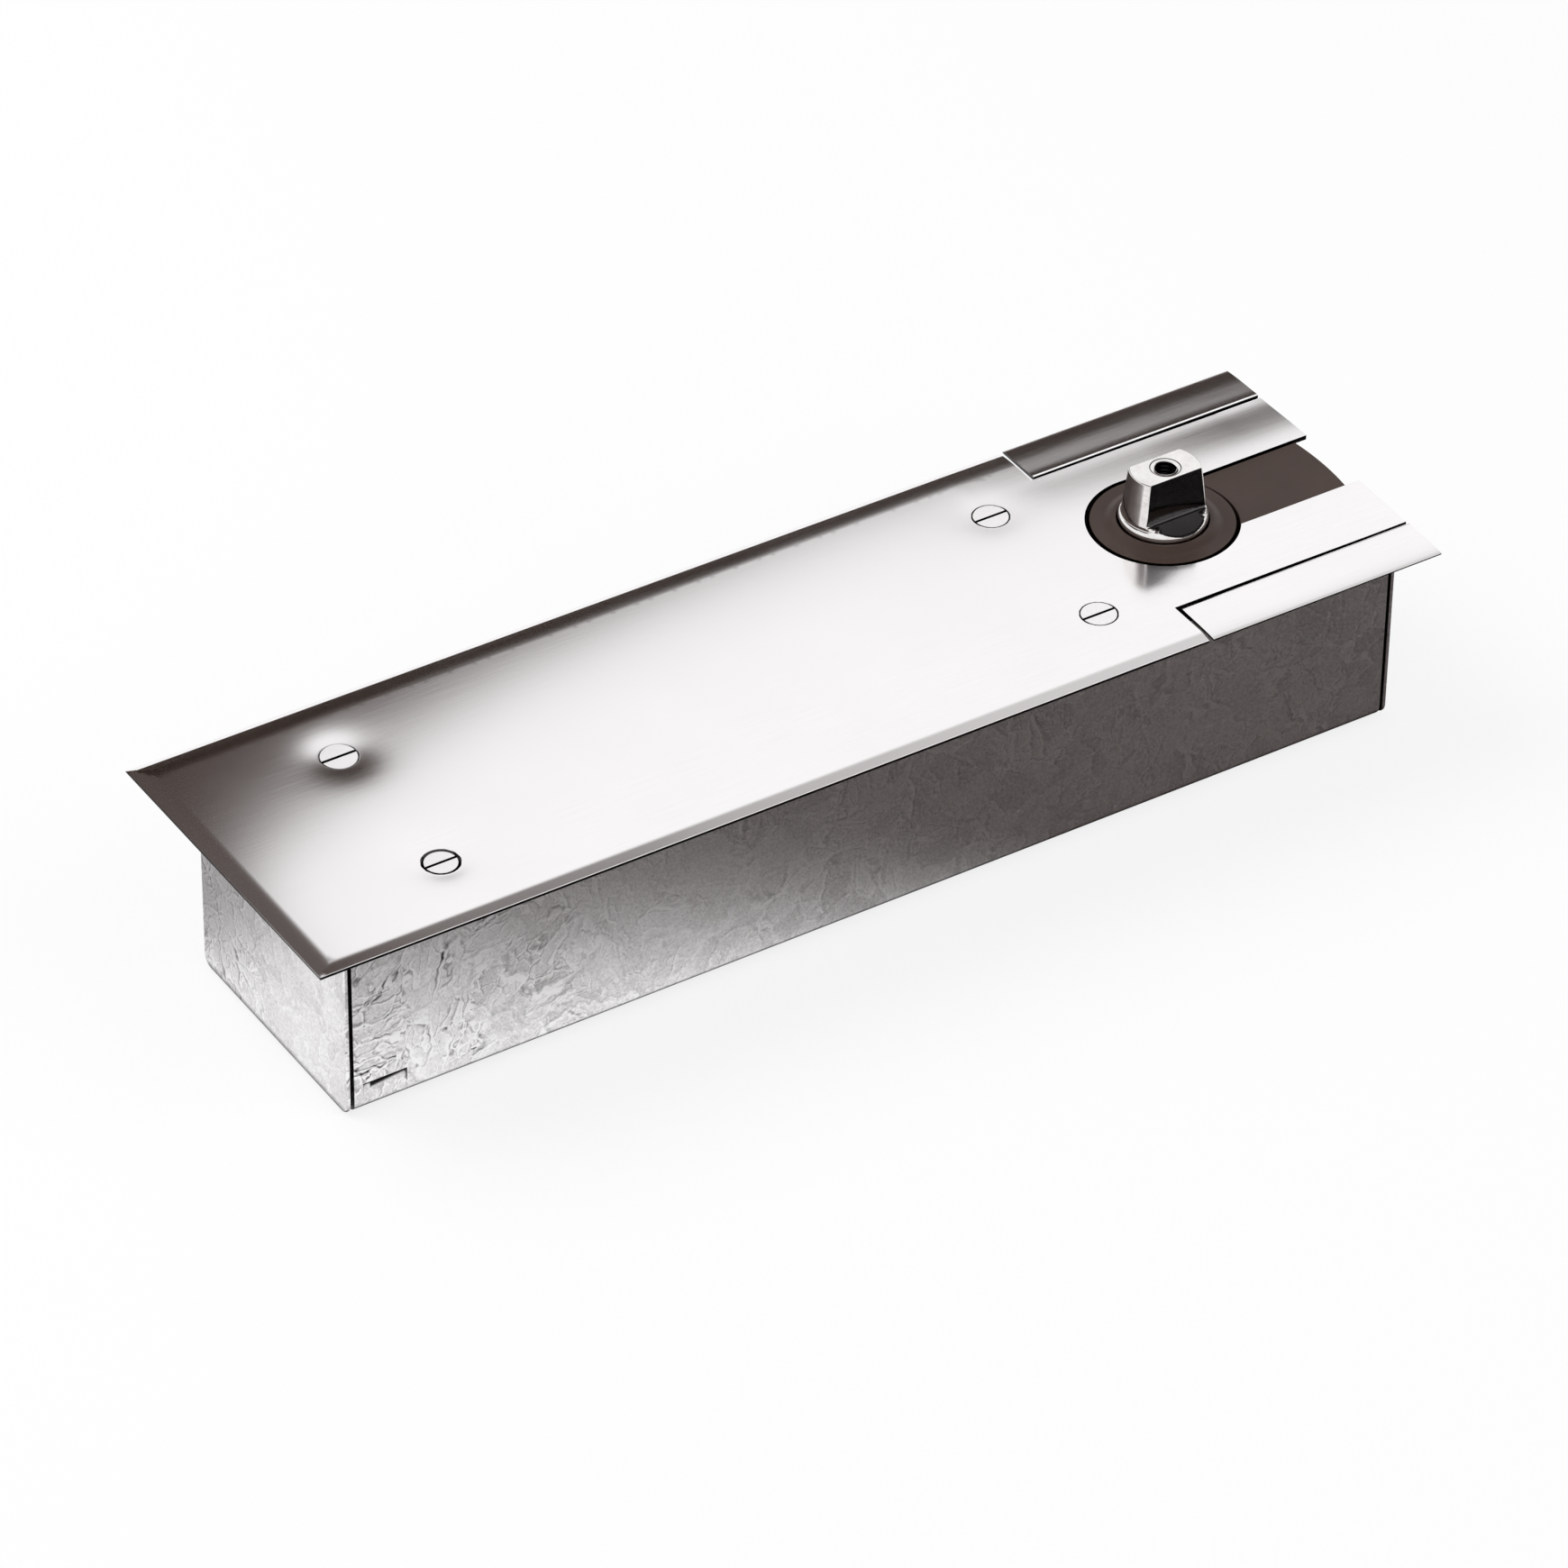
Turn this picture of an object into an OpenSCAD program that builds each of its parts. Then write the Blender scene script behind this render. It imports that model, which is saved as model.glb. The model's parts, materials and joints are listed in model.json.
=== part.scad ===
// Floor spring: a hydraulic door closer that lies in a box under the floor and turns a door
// from below. The origin is on the spindle axis at the finished floor, which is the top of the
// cover plate. +X runs along the plate to its spindle end, +Y to the back and +Z up.
// All sizes are in millimetres.

/* [Cement box] */
// Length of the cement box, outside
box_l = 341; // [325:1:380]
// Width of the cement box, outside
box_w = 78; // [76:1:90]
// Height of the cement box
box_h = 60; // [58:1:75]
// Thickness of the galvanised sheet
box_t = 1.2; // [0.8:0.1:1.6]
// Outside radius of the bends along the floor of the box
bend_r = 3.5; // [2:0.5:5]
// Width of the open seam between the folded shell and each end panel
seam_gap = 1; // [0.4:0.1:1.4]
// Length of the flanges that hold the end panels in the shell
end_flange_l = 7; // [4:0.5:8]
// Depth of the box rim below the finished floor
rim_depth = 4; // [3.5:0.5:6]
// Distance from the spindle axis to the end of the box
spindle_setback = 53; // [53:0.5:60]

/* [Lanced tab of the box] */
// Distance from the left end of the box to the tab
tab_inset = 5; // [5:0.5:20]
// Length of the tab
tab_l = 13.6; // [8:0.1:20]
// Height of the tab's slit above the bottom of the box
tab_z = 9.3; // [8:0.1:20]
// Height of the bent tab below its slit
tab_h = 4.5; // [3:0.1:4.5]
// Opening of the slit
tab_slit = 0.9; // [0.6:0.1:1.4]

/* [Cover plate] */
// Thickness of the cover plate
plate_t = 1.5; // [1.2:0.1:2]
// Reach of the plate past each long side of the box
plate_over_side = 13.5; // [10:0.5:18]
// Reach of the plate past the end of the box away from the spindle
plate_over_left = 14.6; // [8:0.1:20]
// Reach of the plate past the spindle end of the box
plate_over_right = 5.4; // [4:0.1:10]
// Width of the bevelled edge band
bevel_w = 6; // [3:0.5:8]
// Fall of the bevelled edge band
bevel_drop = 0.9; // [0.4:0.1:1.1]
// Width of the rolled edges beside the edge strips
roll_w = 3; // [1:0.5:4]
// Fall of the rolled edges beside the edge strips
roll_drop = 0.6; // [0.3:0.1:1]

/* [Edge strips and slot] */
// Gap between an edge strip and the long edge of the plate beside it
strip_gap = 1.2; // [0.6:0.1:2]
// Gap between an edge strip and the short edge of the plate's notch
strip_end_gap = 1.5; // [0.6:0.1:3]
// Distance from the spindle axis to the start of the corner notches
notch_reach = 20.5; // [10:0.5:30]
// Thickness of the leg that holds an edge strip to the box
strip_leg_t = 1; // [0.8:0.1:1.2]
// Depth of that leg below the rim of the box
strip_leg_h = 10; // [6:1:20]
// Width of the slot behind the spindle
slot_w = 25.8; // [20:0.1:28]
// Gap all round the slot filler
filler_gap = 0.3; // [0.2:0.1:0.8]
// Depth of the slot filler's top below the plate
filler_sink = 0.6; // [0.3:0.1:1]
// Distance from the end of the plate to the end of the filler
filler_short = 3.4; // [2:0.1:4]
// Radius of the filler's rounded end
filler_end_r = 90; // [60:5:150]

/* [Collar disc] */
// Radius of the collar disc round the spindle
disc_r = 21.25; // [20.5:0.25:24]
// Gap between the collar disc and the plate
disc_gap = 0.75; // [0.4:0.05:1.2]
// Thickness of the collar disc
disc_t = 1.3; // [1:0.1:1.4]
// Height of the disc's raised middle above the plate
disc_crown = 0.8; // [0.4:0.1:1.2]
// Radial gap between the disc and the spindle collar
disc_bore_gap = 0.4; // [0.3:0.05:1]

/* [Spindle] */
// Height of the spindle above the finished floor
spindle_top = 18.2; // [15:0.1:30]
// Radius of the round collar under the spindle head
collar_r = 12.8; // [12.5:0.1:13.4]
// Height of that collar above the finished floor
collar_top = 4.2; // [3.5:0.1:6]
// Radius of the tapered head where it meets the collar
head_base_r = 12.1; // [11:0.1:12.4]
// Radius of the tapered head at its top
head_top_r = 10.3; // [9.5:0.1:11]
// Distance across the flats at their foot
flats_base = 12.5; // [11:0.1:14]
// Distance across the flats at the top
flats_top = 10.7; // [10:0.1:12]
// Radius of the threaded hole in the head
thread_r = 3.4; // [2.5:0.1:4]
// Depth of the threaded hole
thread_depth = 20.5; // [20:0.5:24]
// Radius of the countersink of the threaded hole
csink_r = 4.25; // [4.1:0.05:4.8]
// Radius of the shaft
shaft_r = 10; // [9:0.1:10.5]
// Radius of the lower journal
journal_r = 8; // [6:0.1:8.5]

/* [Cam and carriage] */
// Thickness of the cam disc
cam_t = 11; // [8:0.5:12]
// Wall of the cam between the shaft and its notch
cam_wall = 2.5; // [2:0.1:3]
// Travel of the carriage for one degree of the spindle
lift_per_degree = 0.085; // [0.07:0.001:0.088]
// Widest opening angle of the door
open_angle = 130; // [90:1:150]
// Radius of the cam rollers
roller_r = 6.5; // [5.5:0.1:6.8]
// Radius of the roller pins
roller_pin_r = 3.5; // [2.5:0.1:4]
// Thickness of each carriage strap
strap_t = 3.5; // [2:0.1:4]
// Width of a strap beside the spindle
strap_w = 30; // [26:0.5:34]
// Width of a strap where it joins the piston
strap_neck_w = 18; // [16:0.5:20]
// Gap between the cam and each strap
strap_play = 0.5; // [0.3:0.1:1]
// Length of the tongue that joins the piston to the straps
tongue_l = 12.5; // [11:0.5:14]
// Radius of the pins through the tongue
strap_pin_r = 2.5; // [1.5:0.1:3]

/* [Closer body] */
// Radius of the spring and piston bore
bore_r = 18; // [17.5:0.1:19.5]
// Wall round the bore
tube_wall = 5; // [4:0.1:5.5]
// Gap between the closer body and each side wall of the box
side_play = 3.3; // [2.6:0.1:4]
// Gap between the closer body and the spindle end of the box
end_play = 4.3; // [2:0.1:4.5]
// Room at the left end of the box for the adjusting screw
screw_room = 12.8; // [11:0.1:20]
// Length of the mounting block at the left end of the body
left_block_l = 40; // [36:1:60]
// Thickness of the body lid
lid_t = 6; // [4:0.5:7]
// Thickness of the lid gasket
gasket_t = 0.5; // [0.3:0.1:1]

/* [Piston and spring] */
// Length of the piston
piston_l = 24; // [20:1:30]
// Radius of the spring wire
wire_r = 2.75; // [2:0.05:2.9]
// Number of turns of the closing spring
spring_turns = 16; // [10:1:20]
// Gap between the spring and the bore
spring_play = 1; // [0.6:0.1:1.4]
// Thickness of the spring plate
spring_plate_t = 5; // [4:0.5:8]
// Distance from the end plug to the spring plate
plate_travel = 15; // [13:0.5:20]

/* [Adjusting screw and end plug] */
// Radius of the adjusting screw
screw_r = 5; // [4:0.1:6]
// Width across the flats of the adjusting screw's head
screw_head_af = 13; // [11:0.5:15]
// Height of the adjusting screw's head
screw_head_h = 6; // [4:0.5:7]
// Length of the end plug inside the bore
plug_l = 12; // [10:0.5:16]
// Thickness of the end plug's flange
plug_flange_t = 3.5; // [2:0.1:4]

/* [Valves] */
// Radius of the valve screws
valve_r = 4; // [3.5:0.1:5]
// Length of a valve screw without its tip
valve_l = 13; // [10:0.5:14]
// Radius of the oil channels
channel_r = 1.5; // [1:0.1:2]

/* [Fasteners] */
// Distance from the left end of the box to the left pair of cover screws
cover_screw_left = 37; // [34:0.5:43]
// Distance from the spindle axis to the right pair of cover screws
cover_screw_right = 40; // [39:0.5:60]
// Distance between the two cover screws of a pair
cover_screw_span = 54; // [52:0.5:57]
// Radius of a cover screw's head
cover_head_r = 5.25; // [4.5:0.05:5.6]
// Radius of the cover screws' threads
cover_thread_r = 2.5; // [2:0.1:3]
// Radius of the posts that carry the cover plate
post_r = 5.5; // [5:0.1:6]
// Outside radius of the levelling bushes
bush_r = 5; // [4:0.1:5.5]
// Radius of the hold-down screws
hold_r = 2.5; // [2:0.1:3]
// Width across the flats of the weld nuts
nut_af = 10; // [9:0.5:12]
// Height of the weld nuts
nut_h = 3.5; // [3:0.1:4]

/* [Hidden] */
$fn = 64;

// Clearances
running_fit = 0.05; // radial gap of a turning or sliding fit
thread_fit = 0.06; // radial gap between a screw and its hole
press_fit = 0.01; // radial gap of a pressed pin or bush
touch = 0.05; // gap between flat faces that turn on each other
cam_play = 0.25; // gap between the cam and its rollers
wall_play = 0.6; // gap round the carriage in its pocket
eps = 1; // overlap of a cutting shape past a face

// Box and plate outlines
box_right = spindle_setback;
box_left = spindle_setback - box_l;
box_z0 = -rim_depth - box_h;
box_floor = box_z0 + box_t;
wall_in = box_w / 2 - box_t; // inner face of a long wall
plate_right = box_right + plate_over_right;
plate_left = box_left - plate_over_left;
plate_half_w = box_w / 2 + plate_over_side;
strip_inner = wall_in - strip_leg_t;
notch_inner = strip_inner - strip_gap;
strip_x0 = strip_end_gap - notch_reach;
slot_corner = slot_w / 2;
disc_hole_r = disc_r + disc_gap;

// Lanced tab
tab_depth = 0.8; // depth of the bent tab
tab_top = box_z0 + tab_z;

// Closer body
bush_proud = 0.8; // reach of a levelling bush below the body
tube_r = bore_r + tube_wall;
tube_lift = 0.5; // height of the tube above the underside of the blocks
body_z0 = box_floor + nut_h + bush_proud;
axis_z = body_z0 + tube_lift + tube_r;
body_half_w = box_w / 2 - box_t - side_play;
body_right = box_right - box_t - end_play;
body_left = box_left + box_t + screw_room;
chamber_half_h = 13; // half the height of the cam chamber
spigot_h = 5; // reach of the lid into the chamber
block_top = axis_z + chamber_half_h + spigot_h;
lid_z0 = block_top + gasket_t;
lid_z1 = lid_z0 + lid_t;
corner_r = 6; // radius of the blocks' upright corners

// Bearings and seal of the spindle
lower_bearing_l = 8;
lower_bearing_r = journal_r + 4;
thrust_t = 2.8; // thickness of the thrust bearing
upper_bearing_l = 10;
upper_bearing_r = shaft_r + 3.5;
upper_bearing_z = axis_z + chamber_half_h + 0.5;
seal_shelf = upper_bearing_z + upper_bearing_l + 0.9;
seal_r = 16; // outside radius of the spindle seal
seal_t = 3; // thickness of the spindle seal
retainer_t = 1; // thickness of the ring that holds the seal
retainer_z = seal_shelf + seal_t + 0.1;
hub_lip = 1.5; // height of the lid's hub above that ring
hub_z1 = retainer_z + retainer_t + hub_lip;
hub_r = seal_r + 2.2; // radius of the lid's hub
key_w = 5; // width of the cam's key
key_in = shaft_r - 2.4; // inner end of the key's seat
key_out = shaft_r + 2.4; // outer end of the key's seat

// Cam and carriage
cam_notch_r = shaft_r + cam_wall;
path_0 = cam_notch_r + cam_play + roller_r;
path_180 = path_0 + 180 * lift_per_degree;
cam_top_r = path_180 - roller_r - cam_play;
stroke = lift_per_degree * open_angle;
chamber_r = cam_top_r + 1.7;
strap_in = cam_t / 2 + strap_play;
strap_out = strap_in + strap_t;
strap_end = 6.5; // reach of a strap past the return roller pin
slot_play = 0.4; // gap between the spindle and the straps' slots
pocket_half_w = strap_w / 2 + wall_play;
pocket_half_h = strap_out + wall_play;
pocket_right = path_180 + strap_end + 1;
roller_half_h = strap_in - 0.3;
roller_room = 3.75; // gap between the drive roller and the tongue

// Piston
piston_right = -(path_0 + roller_r + roller_room + tongue_l);
piston_left = piston_right - piston_l;
bore_end = piston_right + 6;
hump_end = bore_end + 3;
tongue_half_w = strap_neck_w / 2 + 1;
strap_pin_x = piston_right + 6;
strap_pin_y = strap_neck_w / 2 - 3.5;
ring_x = piston_left + 5; // middle of the piston ring
ring_half = 2; // half the width of the ring's groove
ring_depth = 2.5; // depth of the ring's groove
valve_bore_z = bore_r - 4.4; // height of the piston's two valves above its axis
valve_bore_l = 11; // length of a valve's seat in the piston
port_r = 1.2; // radius of the oil ports
ball_r = 2.2; // radius of the check valve's ball
ball_room_r = ball_r + 0.25;
cage_l = 5; // length of the cage behind the ball
ball_x = piston_right - valve_bore_l + sqrt(ball_r * ball_r - port_r * port_r) + touch;

// Spring and adjusting screw
plug_inner = body_left + plug_l;
plug_groove_x = body_left + 7;
screw_groove_x = plug_inner - 3;
spring_plate_x0 = plug_inner + plate_travel;
spring_plate_x1 = spring_plate_x0 + spring_plate_t;
spring_r = bore_r - spring_play - wire_r;
spring_gap = 0.3; // gap at each end of the spring
guide_r = spring_r - wire_r - 1.5; // radius of the hub and the pilot inside the spring
plate_hub_l = 9; // length of the spring plate's hub
pilot_l = 6; // length of the piston's pilot in the spring
clip_t = 1.2; // thickness of the snap ring
clip_x = plug_inner + 0.2;
clip_groove_r = screw_r - 0.8;

// Valves
valve_x = piston_left - stroke - 3;
valve_y = chamber_r - 2.5;
valve_top = block_top - 0.4;
valve_seal_r = 0.5; // section radius of a valve's O-ring
valve_groove_z = valve_top - 5;
right_block_left = valve_x - 15;
cross_r = channel_r + 0.3; // radius of the drillings from the bore to the valves
channel_plug_r = cross_r + 0.7;
channel_plug_l = 3;

// Fasteners
lid_screw_x = 24;
lid_screw_y = chamber_r - 3;
lid_half_l = lid_screw_x + 7;
lid_half_w = body_half_w - 1;
lid_thread_r = 2.5;
lid_head_r = 4.25;
lid_head_h = 5;
lid_screw_depth = 11; // reach of a lid screw into the body
level_y = body_half_w - 7.5;
level_x_right = body_right - 9.5;
level_x_left = body_left + 8;
bush_top = block_top + 3;
hold_head_h = 4; // height of a hold-down screw's head
cover_x_left = box_left + cover_screw_left;
cover_x_right = -cover_screw_right;
cover_y = cover_screw_span / 2;
head_sink = 0.15; // depth of a cover screw's head below the plate
head_gap = 0.15; // gap round a cover screw's head
cover_cone_h = cover_head_r - cover_thread_r;
cover_screw_l = 14;
dimple_z = -head_sink - cover_cone_h - 0.2;
socket_r = 2.3; // radius over the corners of a hexagon socket
oil_plug_x = (body_left + right_block_left) / 2;
oil_plug_r = 4;
oil_boss_r = 8;
oil_boss_z = axis_z + tube_r + 2;
washer_t = 0.8; // thickness of the oil plug's washer

// Sealing rings
ring_r = 0.9; // section radius of the O-rings

// Colours
zinc = "silver";
stainless = "gainsboro";
dark_plastic = "#4a3f3c";
iron = "#6f7072";
steel = "#a9abad";
brass_tone = "#c8a85a";
rubber_tone = "#222222";

// Helpers

// A rectangle of size l by w, centred, with round corners.
module rounded_rect(l, w, r) {
    square([l - 2 * r, w], center = true);
    square([l, w - 2 * r], center = true);
    for (x = [-1, 1])
        for (y = [-1, 1])
            translate([x * (l / 2 - r), y * (w / 2 - r)])
                circle(r);
}

// A rectangle from [x0, 0] to [x1, h] whose two lower corners are round.
module round_bottom(x0, x1, h, r) {
    translate([x0 + r, 0])
        square([x1 - x0 - 2 * r, h]);
    translate([x0, r])
        square([x1 - x0, h - r]);
    for (x = [x0 + r, x1 - r])
        translate([x, r])
            circle(r);
}

// A straight round bar along X from x0 to x1.
module bar_x(x0, x1, r) {
    translate([x0, 0, 0])
        rotate([0, 90, 0])
            cylinder(h = x1 - x0, r = r);
}

// A straight round bar along Z from z0 to z1.
module bar_z(z0, z1, r) {
    translate([0, 0, z0])
        cylinder(h = z1 - z0, r = r);
}

// A cone along Z with radius r0 at z0 and r1 at z1.
module cone_z(z0, z1, r0, r1) {
    translate([0, 0, z0])
        cylinder(h = z1 - z0, r1 = r0, r2 = r1);
}

// A block between two opposite corners.
module block(low, high) {
    translate(low)
        cube(high - low);
}

// Children at the four cover screws.
module at_cover_screws() {
    for (x = [cover_x_left, cover_x_right])
        for (y = [-cover_y, cover_y])
            translate([x, y, 0])
                children();
}

// Children at the four levelling points.
module at_level_points() {
    for (x = [level_x_left, level_x_right])
        for (y = [-level_y, level_y])
            translate([x, y, 0])
                children();
}

// Children at the four lid screws.
module at_lid_screws() {
    for (x = [-lid_screw_x, lid_screw_x])
        for (y = [-lid_screw_y, lid_screw_y])
            translate([x, y, 0])
                children();
}

// A ring about Z from z0 to z1 between two radii.
module ring_z(z0, z1, r_in, r_out) {
    difference() {
        bar_z(z0, z1, r_out);
        bar_z(z0 - eps, z1 + eps, r_in);
    }
}

// A hexagon socket along Z, cut down from its mouth.
module hex_socket(mouth_z, depth) {
    translate([0, 0, mouth_z - depth])
        cylinder(h = depth + eps, r = socket_r, $fn = 6);
}

// An O-ring about Z.
module o_ring(r_mid, r_section) {
    rotate_extrude()
        translate([r_mid, 0])
            circle(r_section);
}

// The box

// The folded sheet of the shell: its floor and both long sides.
module shell_sheet() {
    side_l = box_l - 2 * (box_t + seam_gap);
    translate([box_left + box_t + seam_gap, 0, box_z0])
        rotate([90, 0, 90])
            linear_extrude(side_l)
                difference() {
                    round_bottom(-box_w / 2, box_w / 2, box_h, bend_r);
                    translate([0, box_t])
                        round_bottom(-wall_in, wall_in, box_h, bend_r - box_t);
                }
}

// What the lanced tab takes out of the front wall.
module tab_recess() {
    translate([box_left + tab_inset, 0, 0])
        rotate([90, 0, 90])
            linear_extrude(tab_l)
                polygon([
                    [-box_w / 2, tab_top - tab_h],
                    [tab_depth - box_w / 2, tab_top - tab_slit],
                    [tab_depth - box_w / 2, tab_top],
                    [-box_w / 2 - eps, tab_top],
                    [-box_w / 2 - eps, tab_top - tab_h]
                ]);
    translate([box_left + tab_inset, -box_w / 2 - eps, tab_top - tab_slit])
        cube([tab_l, box_t + tab_depth + 2 * eps, tab_slit]);
}

// The sheet of the lanced tab, which stands in from the front wall.
module tab_sheet() {
    translate([box_left + tab_inset, 0, 0])
        rotate([90, 0, 90])
            linear_extrude(tab_l)
                polygon([
                    [-wall_in - box_t / 2, tab_top - tab_h],
                    [-wall_in, tab_top - tab_h],
                    [tab_depth - wall_in, tab_top - tab_slit],
                    [-wall_in - box_t / 2, tab_top - tab_slit]
                ]);
}

module box_shell() {
    color(zinc)
        difference() {
            union() {
                shell_sheet();
                for (side = [0, 1])
                    mirror([0, side, 0])
                        tab_sheet();
            }
            for (side = [0, 1])
                mirror([0, side, 0])
                    tab_recess();
            at_level_points()
                bar_z(box_z0 - eps, box_floor + eps, hold_r + thread_fit);
        }
}

// One end panel, at x = 0 with its inner side towards +X, and the flanges that hold it.
module box_end() {
    flange_z0 = tab_top + 2;
    flange_z1 = -rim_depth - 2;
    foot_half_w = 16;
    translate([0, 0, box_z0])
        rotate([90, 0, 90])
            linear_extrude(box_t)
                round_bottom(-box_w / 2, box_w / 2, box_h, bend_r);
    for (side = [0, 1])
        mirror([0, side, 0])
            block(
                [box_t / 2, wall_in - box_t, flange_z0],
                [box_t + end_flange_l, wall_in, flange_z1]
            );
    block(
        [box_t / 2, -foot_half_w, box_floor],
        [box_t + end_flange_l, foot_half_w, box_floor + box_t]
    );
}

module box_end_left() {
    color(zinc)
        translate([box_left, 0, 0])
            box_end();
}

module box_end_right() {
    color(zinc)
        translate([box_right, 0, 0])
            mirror([1, 0, 0])
                box_end();
}

// Weld nuts on the floor of the box, under the levelling bushes.
module floor_nuts() {
    color(steel)
        at_level_points()
            difference() {
                translate([0, 0, box_floor])
                    cylinder(h = nut_h, r = nut_af / 2 / cos(30), $fn = 6);
                bar_z(box_floor - eps, box_floor + nut_h + eps, hold_r + thread_fit);
            }
}

// The cover plate and what lies in it

// Outline of the plate from above, with its notches, its slot and the spindle hole.
module plate_outline() {
    difference() {
        translate([plate_left, -plate_half_w])
            square([plate_right - plate_left, 2 * plate_half_w]);
        for (side = [-1, 1])
            translate([-notch_reach, side * (notch_inner + plate_half_w) / 2])
                translate([0, -(plate_half_w - notch_inner) / 2 - (side < 0 ? eps : 0)])
                    square([plate_right + notch_reach + eps, plate_half_w - notch_inner + eps]);
        circle(disc_hole_r);
        translate([0, -slot_corner])
            square([plate_right + eps, slot_w]);
    }
}

// The bevelled top of the plate along both long edges.
module plate_cross_section() {
    polygon([
        [-plate_half_w, -plate_t],
        [plate_half_w, -plate_t],
        [plate_half_w, -bevel_drop],
        [plate_half_w - bevel_w, 0],
        [bevel_w - plate_half_w, 0],
        [-plate_half_w, -bevel_drop]
    ]);
}

// The bevelled top of the plate at its left end.
module plate_long_section() {
    polygon([
        [plate_left, -plate_t],
        [plate_right, -plate_t],
        [plate_right, 0],
        [plate_left + bevel_w, 0],
        [plate_left, -bevel_drop]
    ]);
}

// What the rolled edge beside an edge strip takes off the plate, for the side at +Y.
module rolled_edge() {
    translate([-notch_reach, 0, 0])
        rotate([90, 0, 90])
            linear_extrude(plate_right + notch_reach + eps)
                polygon([
                    [notch_inner - roll_w, 0],
                    [notch_inner, -roll_drop],
                    [notch_inner + eps, -roll_drop],
                    [notch_inner + eps, eps],
                    [notch_inner - roll_w, eps]
                ]);
}

// The cover plate, pressed down into a dimple round each of its screws.
module cover_plate() {
    color(stainless)
        difference() {
            union() {
                intersection() {
                    translate([plate_left - eps, 0, 0])
                        rotate([90, 0, 90])
                            linear_extrude(plate_right - plate_left + 2 * eps)
                                plate_cross_section();
                    translate([0, plate_half_w + eps, 0])
                        rotate([90, 0, 0])
                            linear_extrude(2 * plate_half_w + 2 * eps)
                                plate_long_section();
                    translate([0, 0, -plate_t - eps])
                        linear_extrude(plate_t + 2 * eps)
                            plate_outline();
                }
                at_cover_screws()
                    cone_z(dimple_z, -plate_t + 0.1, post_r - 1.2, post_r + 1);
            }
            at_cover_screws() {
                cone_z(
                    -head_sink - cover_cone_h, eps,
                    cover_thread_r + head_gap, cover_head_r + head_gap + head_sink + eps
                );
                bar_z(dimple_z - eps, 0, cover_thread_r + head_gap);
            }
            for (side = [0, 1])
                mirror([0, side, 0])
                    rolled_edge();
        }
}

// Countersunk slotted screws of the cover plate.
module cover_screws() {
    slot_depth = 1.3;
    slot_width = 1.2;
    color(stainless)
        at_cover_screws()
            difference() {
                union() {
                    cone_z(
                        -head_sink - cover_cone_h, -head_sink, cover_thread_r, cover_head_r
                    );
                    bar_z(-cover_screw_l, -head_sink - cover_cone_h, cover_thread_r);
                }
                translate([-cover_head_r - eps, -slot_width / 2, -head_sink - slot_depth])
                    cube([2 * cover_head_r + 2 * eps, slot_width, slot_depth + eps]);
            }
}

// One edge strip, at +Y, with the leg that lies against the inside of the box wall.
module edge_strip() {
    edge_break = 0.8;
    leg_inset = 5;
    union() {
        translate([strip_x0, 0, 0])
            rotate([90, 0, 90])
                linear_extrude(plate_right - strip_x0)
                    polygon([
                        [strip_inner, -plate_t],
                        [plate_half_w, -plate_t],
                        [plate_half_w, -bevel_drop],
                        [plate_half_w - bevel_w, 0],
                        [strip_inner + edge_break, 0],
                        [strip_inner, -edge_break]
                    ]);
        block(
            [strip_x0 + leg_inset, strip_inner, -rim_depth - strip_leg_h],
            [box_right - box_t - end_flange_l - 1, wall_in, -plate_t / 2]
        );
    }
}

module edge_strip_front() {
    color(stainless)
        mirror([0, 1, 0])
            edge_strip();
}

module edge_strip_rear() {
    color(stainless)
        edge_strip();
}

// The dark strip that closes the slot between the spindle and the end of the plate.
module slot_filler() {
    x1 = plate_right - filler_short;
    half_w = slot_corner - filler_gap;
    base_t = 1.8;
    base_half_w = half_w + 3;
    foot_y = 7;
    foot_t = 3;
    foot_l = 10;
    foot_x1 = body_right - 1.5;
    color(dark_plastic)
        union() {
            translate([0, 0, -plate_t])
                linear_extrude(plate_t - filler_sink)
                    difference() {
                        intersection() {
                            translate([0, -half_w])
                                square([x1, 2 * half_w]);
                            translate([x1 - filler_end_r, 0])
                                circle(filler_end_r, $fn = 256);
                        }
                        circle(disc_r + disc_gap * 0.7);
                    }
            translate([0, 0, -plate_t - base_t])
                linear_extrude(base_t)
                    difference() {
                        translate([0, -base_half_w])
                            square([box_right - box_t - 1.5, 2 * base_half_w]);
                        circle(disc_r + disc_gap * 0.7);
                    }
            for (side = [-1, 1])
                block(
                    [foot_x1 - foot_l, side * foot_y - foot_t / 2, block_top],
                    [foot_x1, side * foot_y + foot_t / 2, -plate_t - base_t]
                );
        }
}

// The dark disc round the spindle, with the skirt that stands on the lid's hub.
module collar_disc() {
    r_in = collar_r + disc_bore_gap;
    skirt_in = hub_r - 1.7;
    skirt_out = hub_r - 0.4;
    color(dark_plastic)
        rotate_extrude()
            polygon([
                [r_in, -disc_t],
                [r_in, disc_crown - 0.1],
                [r_in + 0.3, disc_crown],
                [r_in + 2, disc_crown - 0.1],
                [r_in + 3.6, 0.25],
                [disc_r - 0.3, 0.1],
                [disc_r, -0.15],
                [disc_r, -disc_t],
                [skirt_out, -disc_t],
                [skirt_out, hub_z1],
                [skirt_in, hub_z1],
                [skirt_in, -disc_t]
            ]);
}

// The closer body

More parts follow.
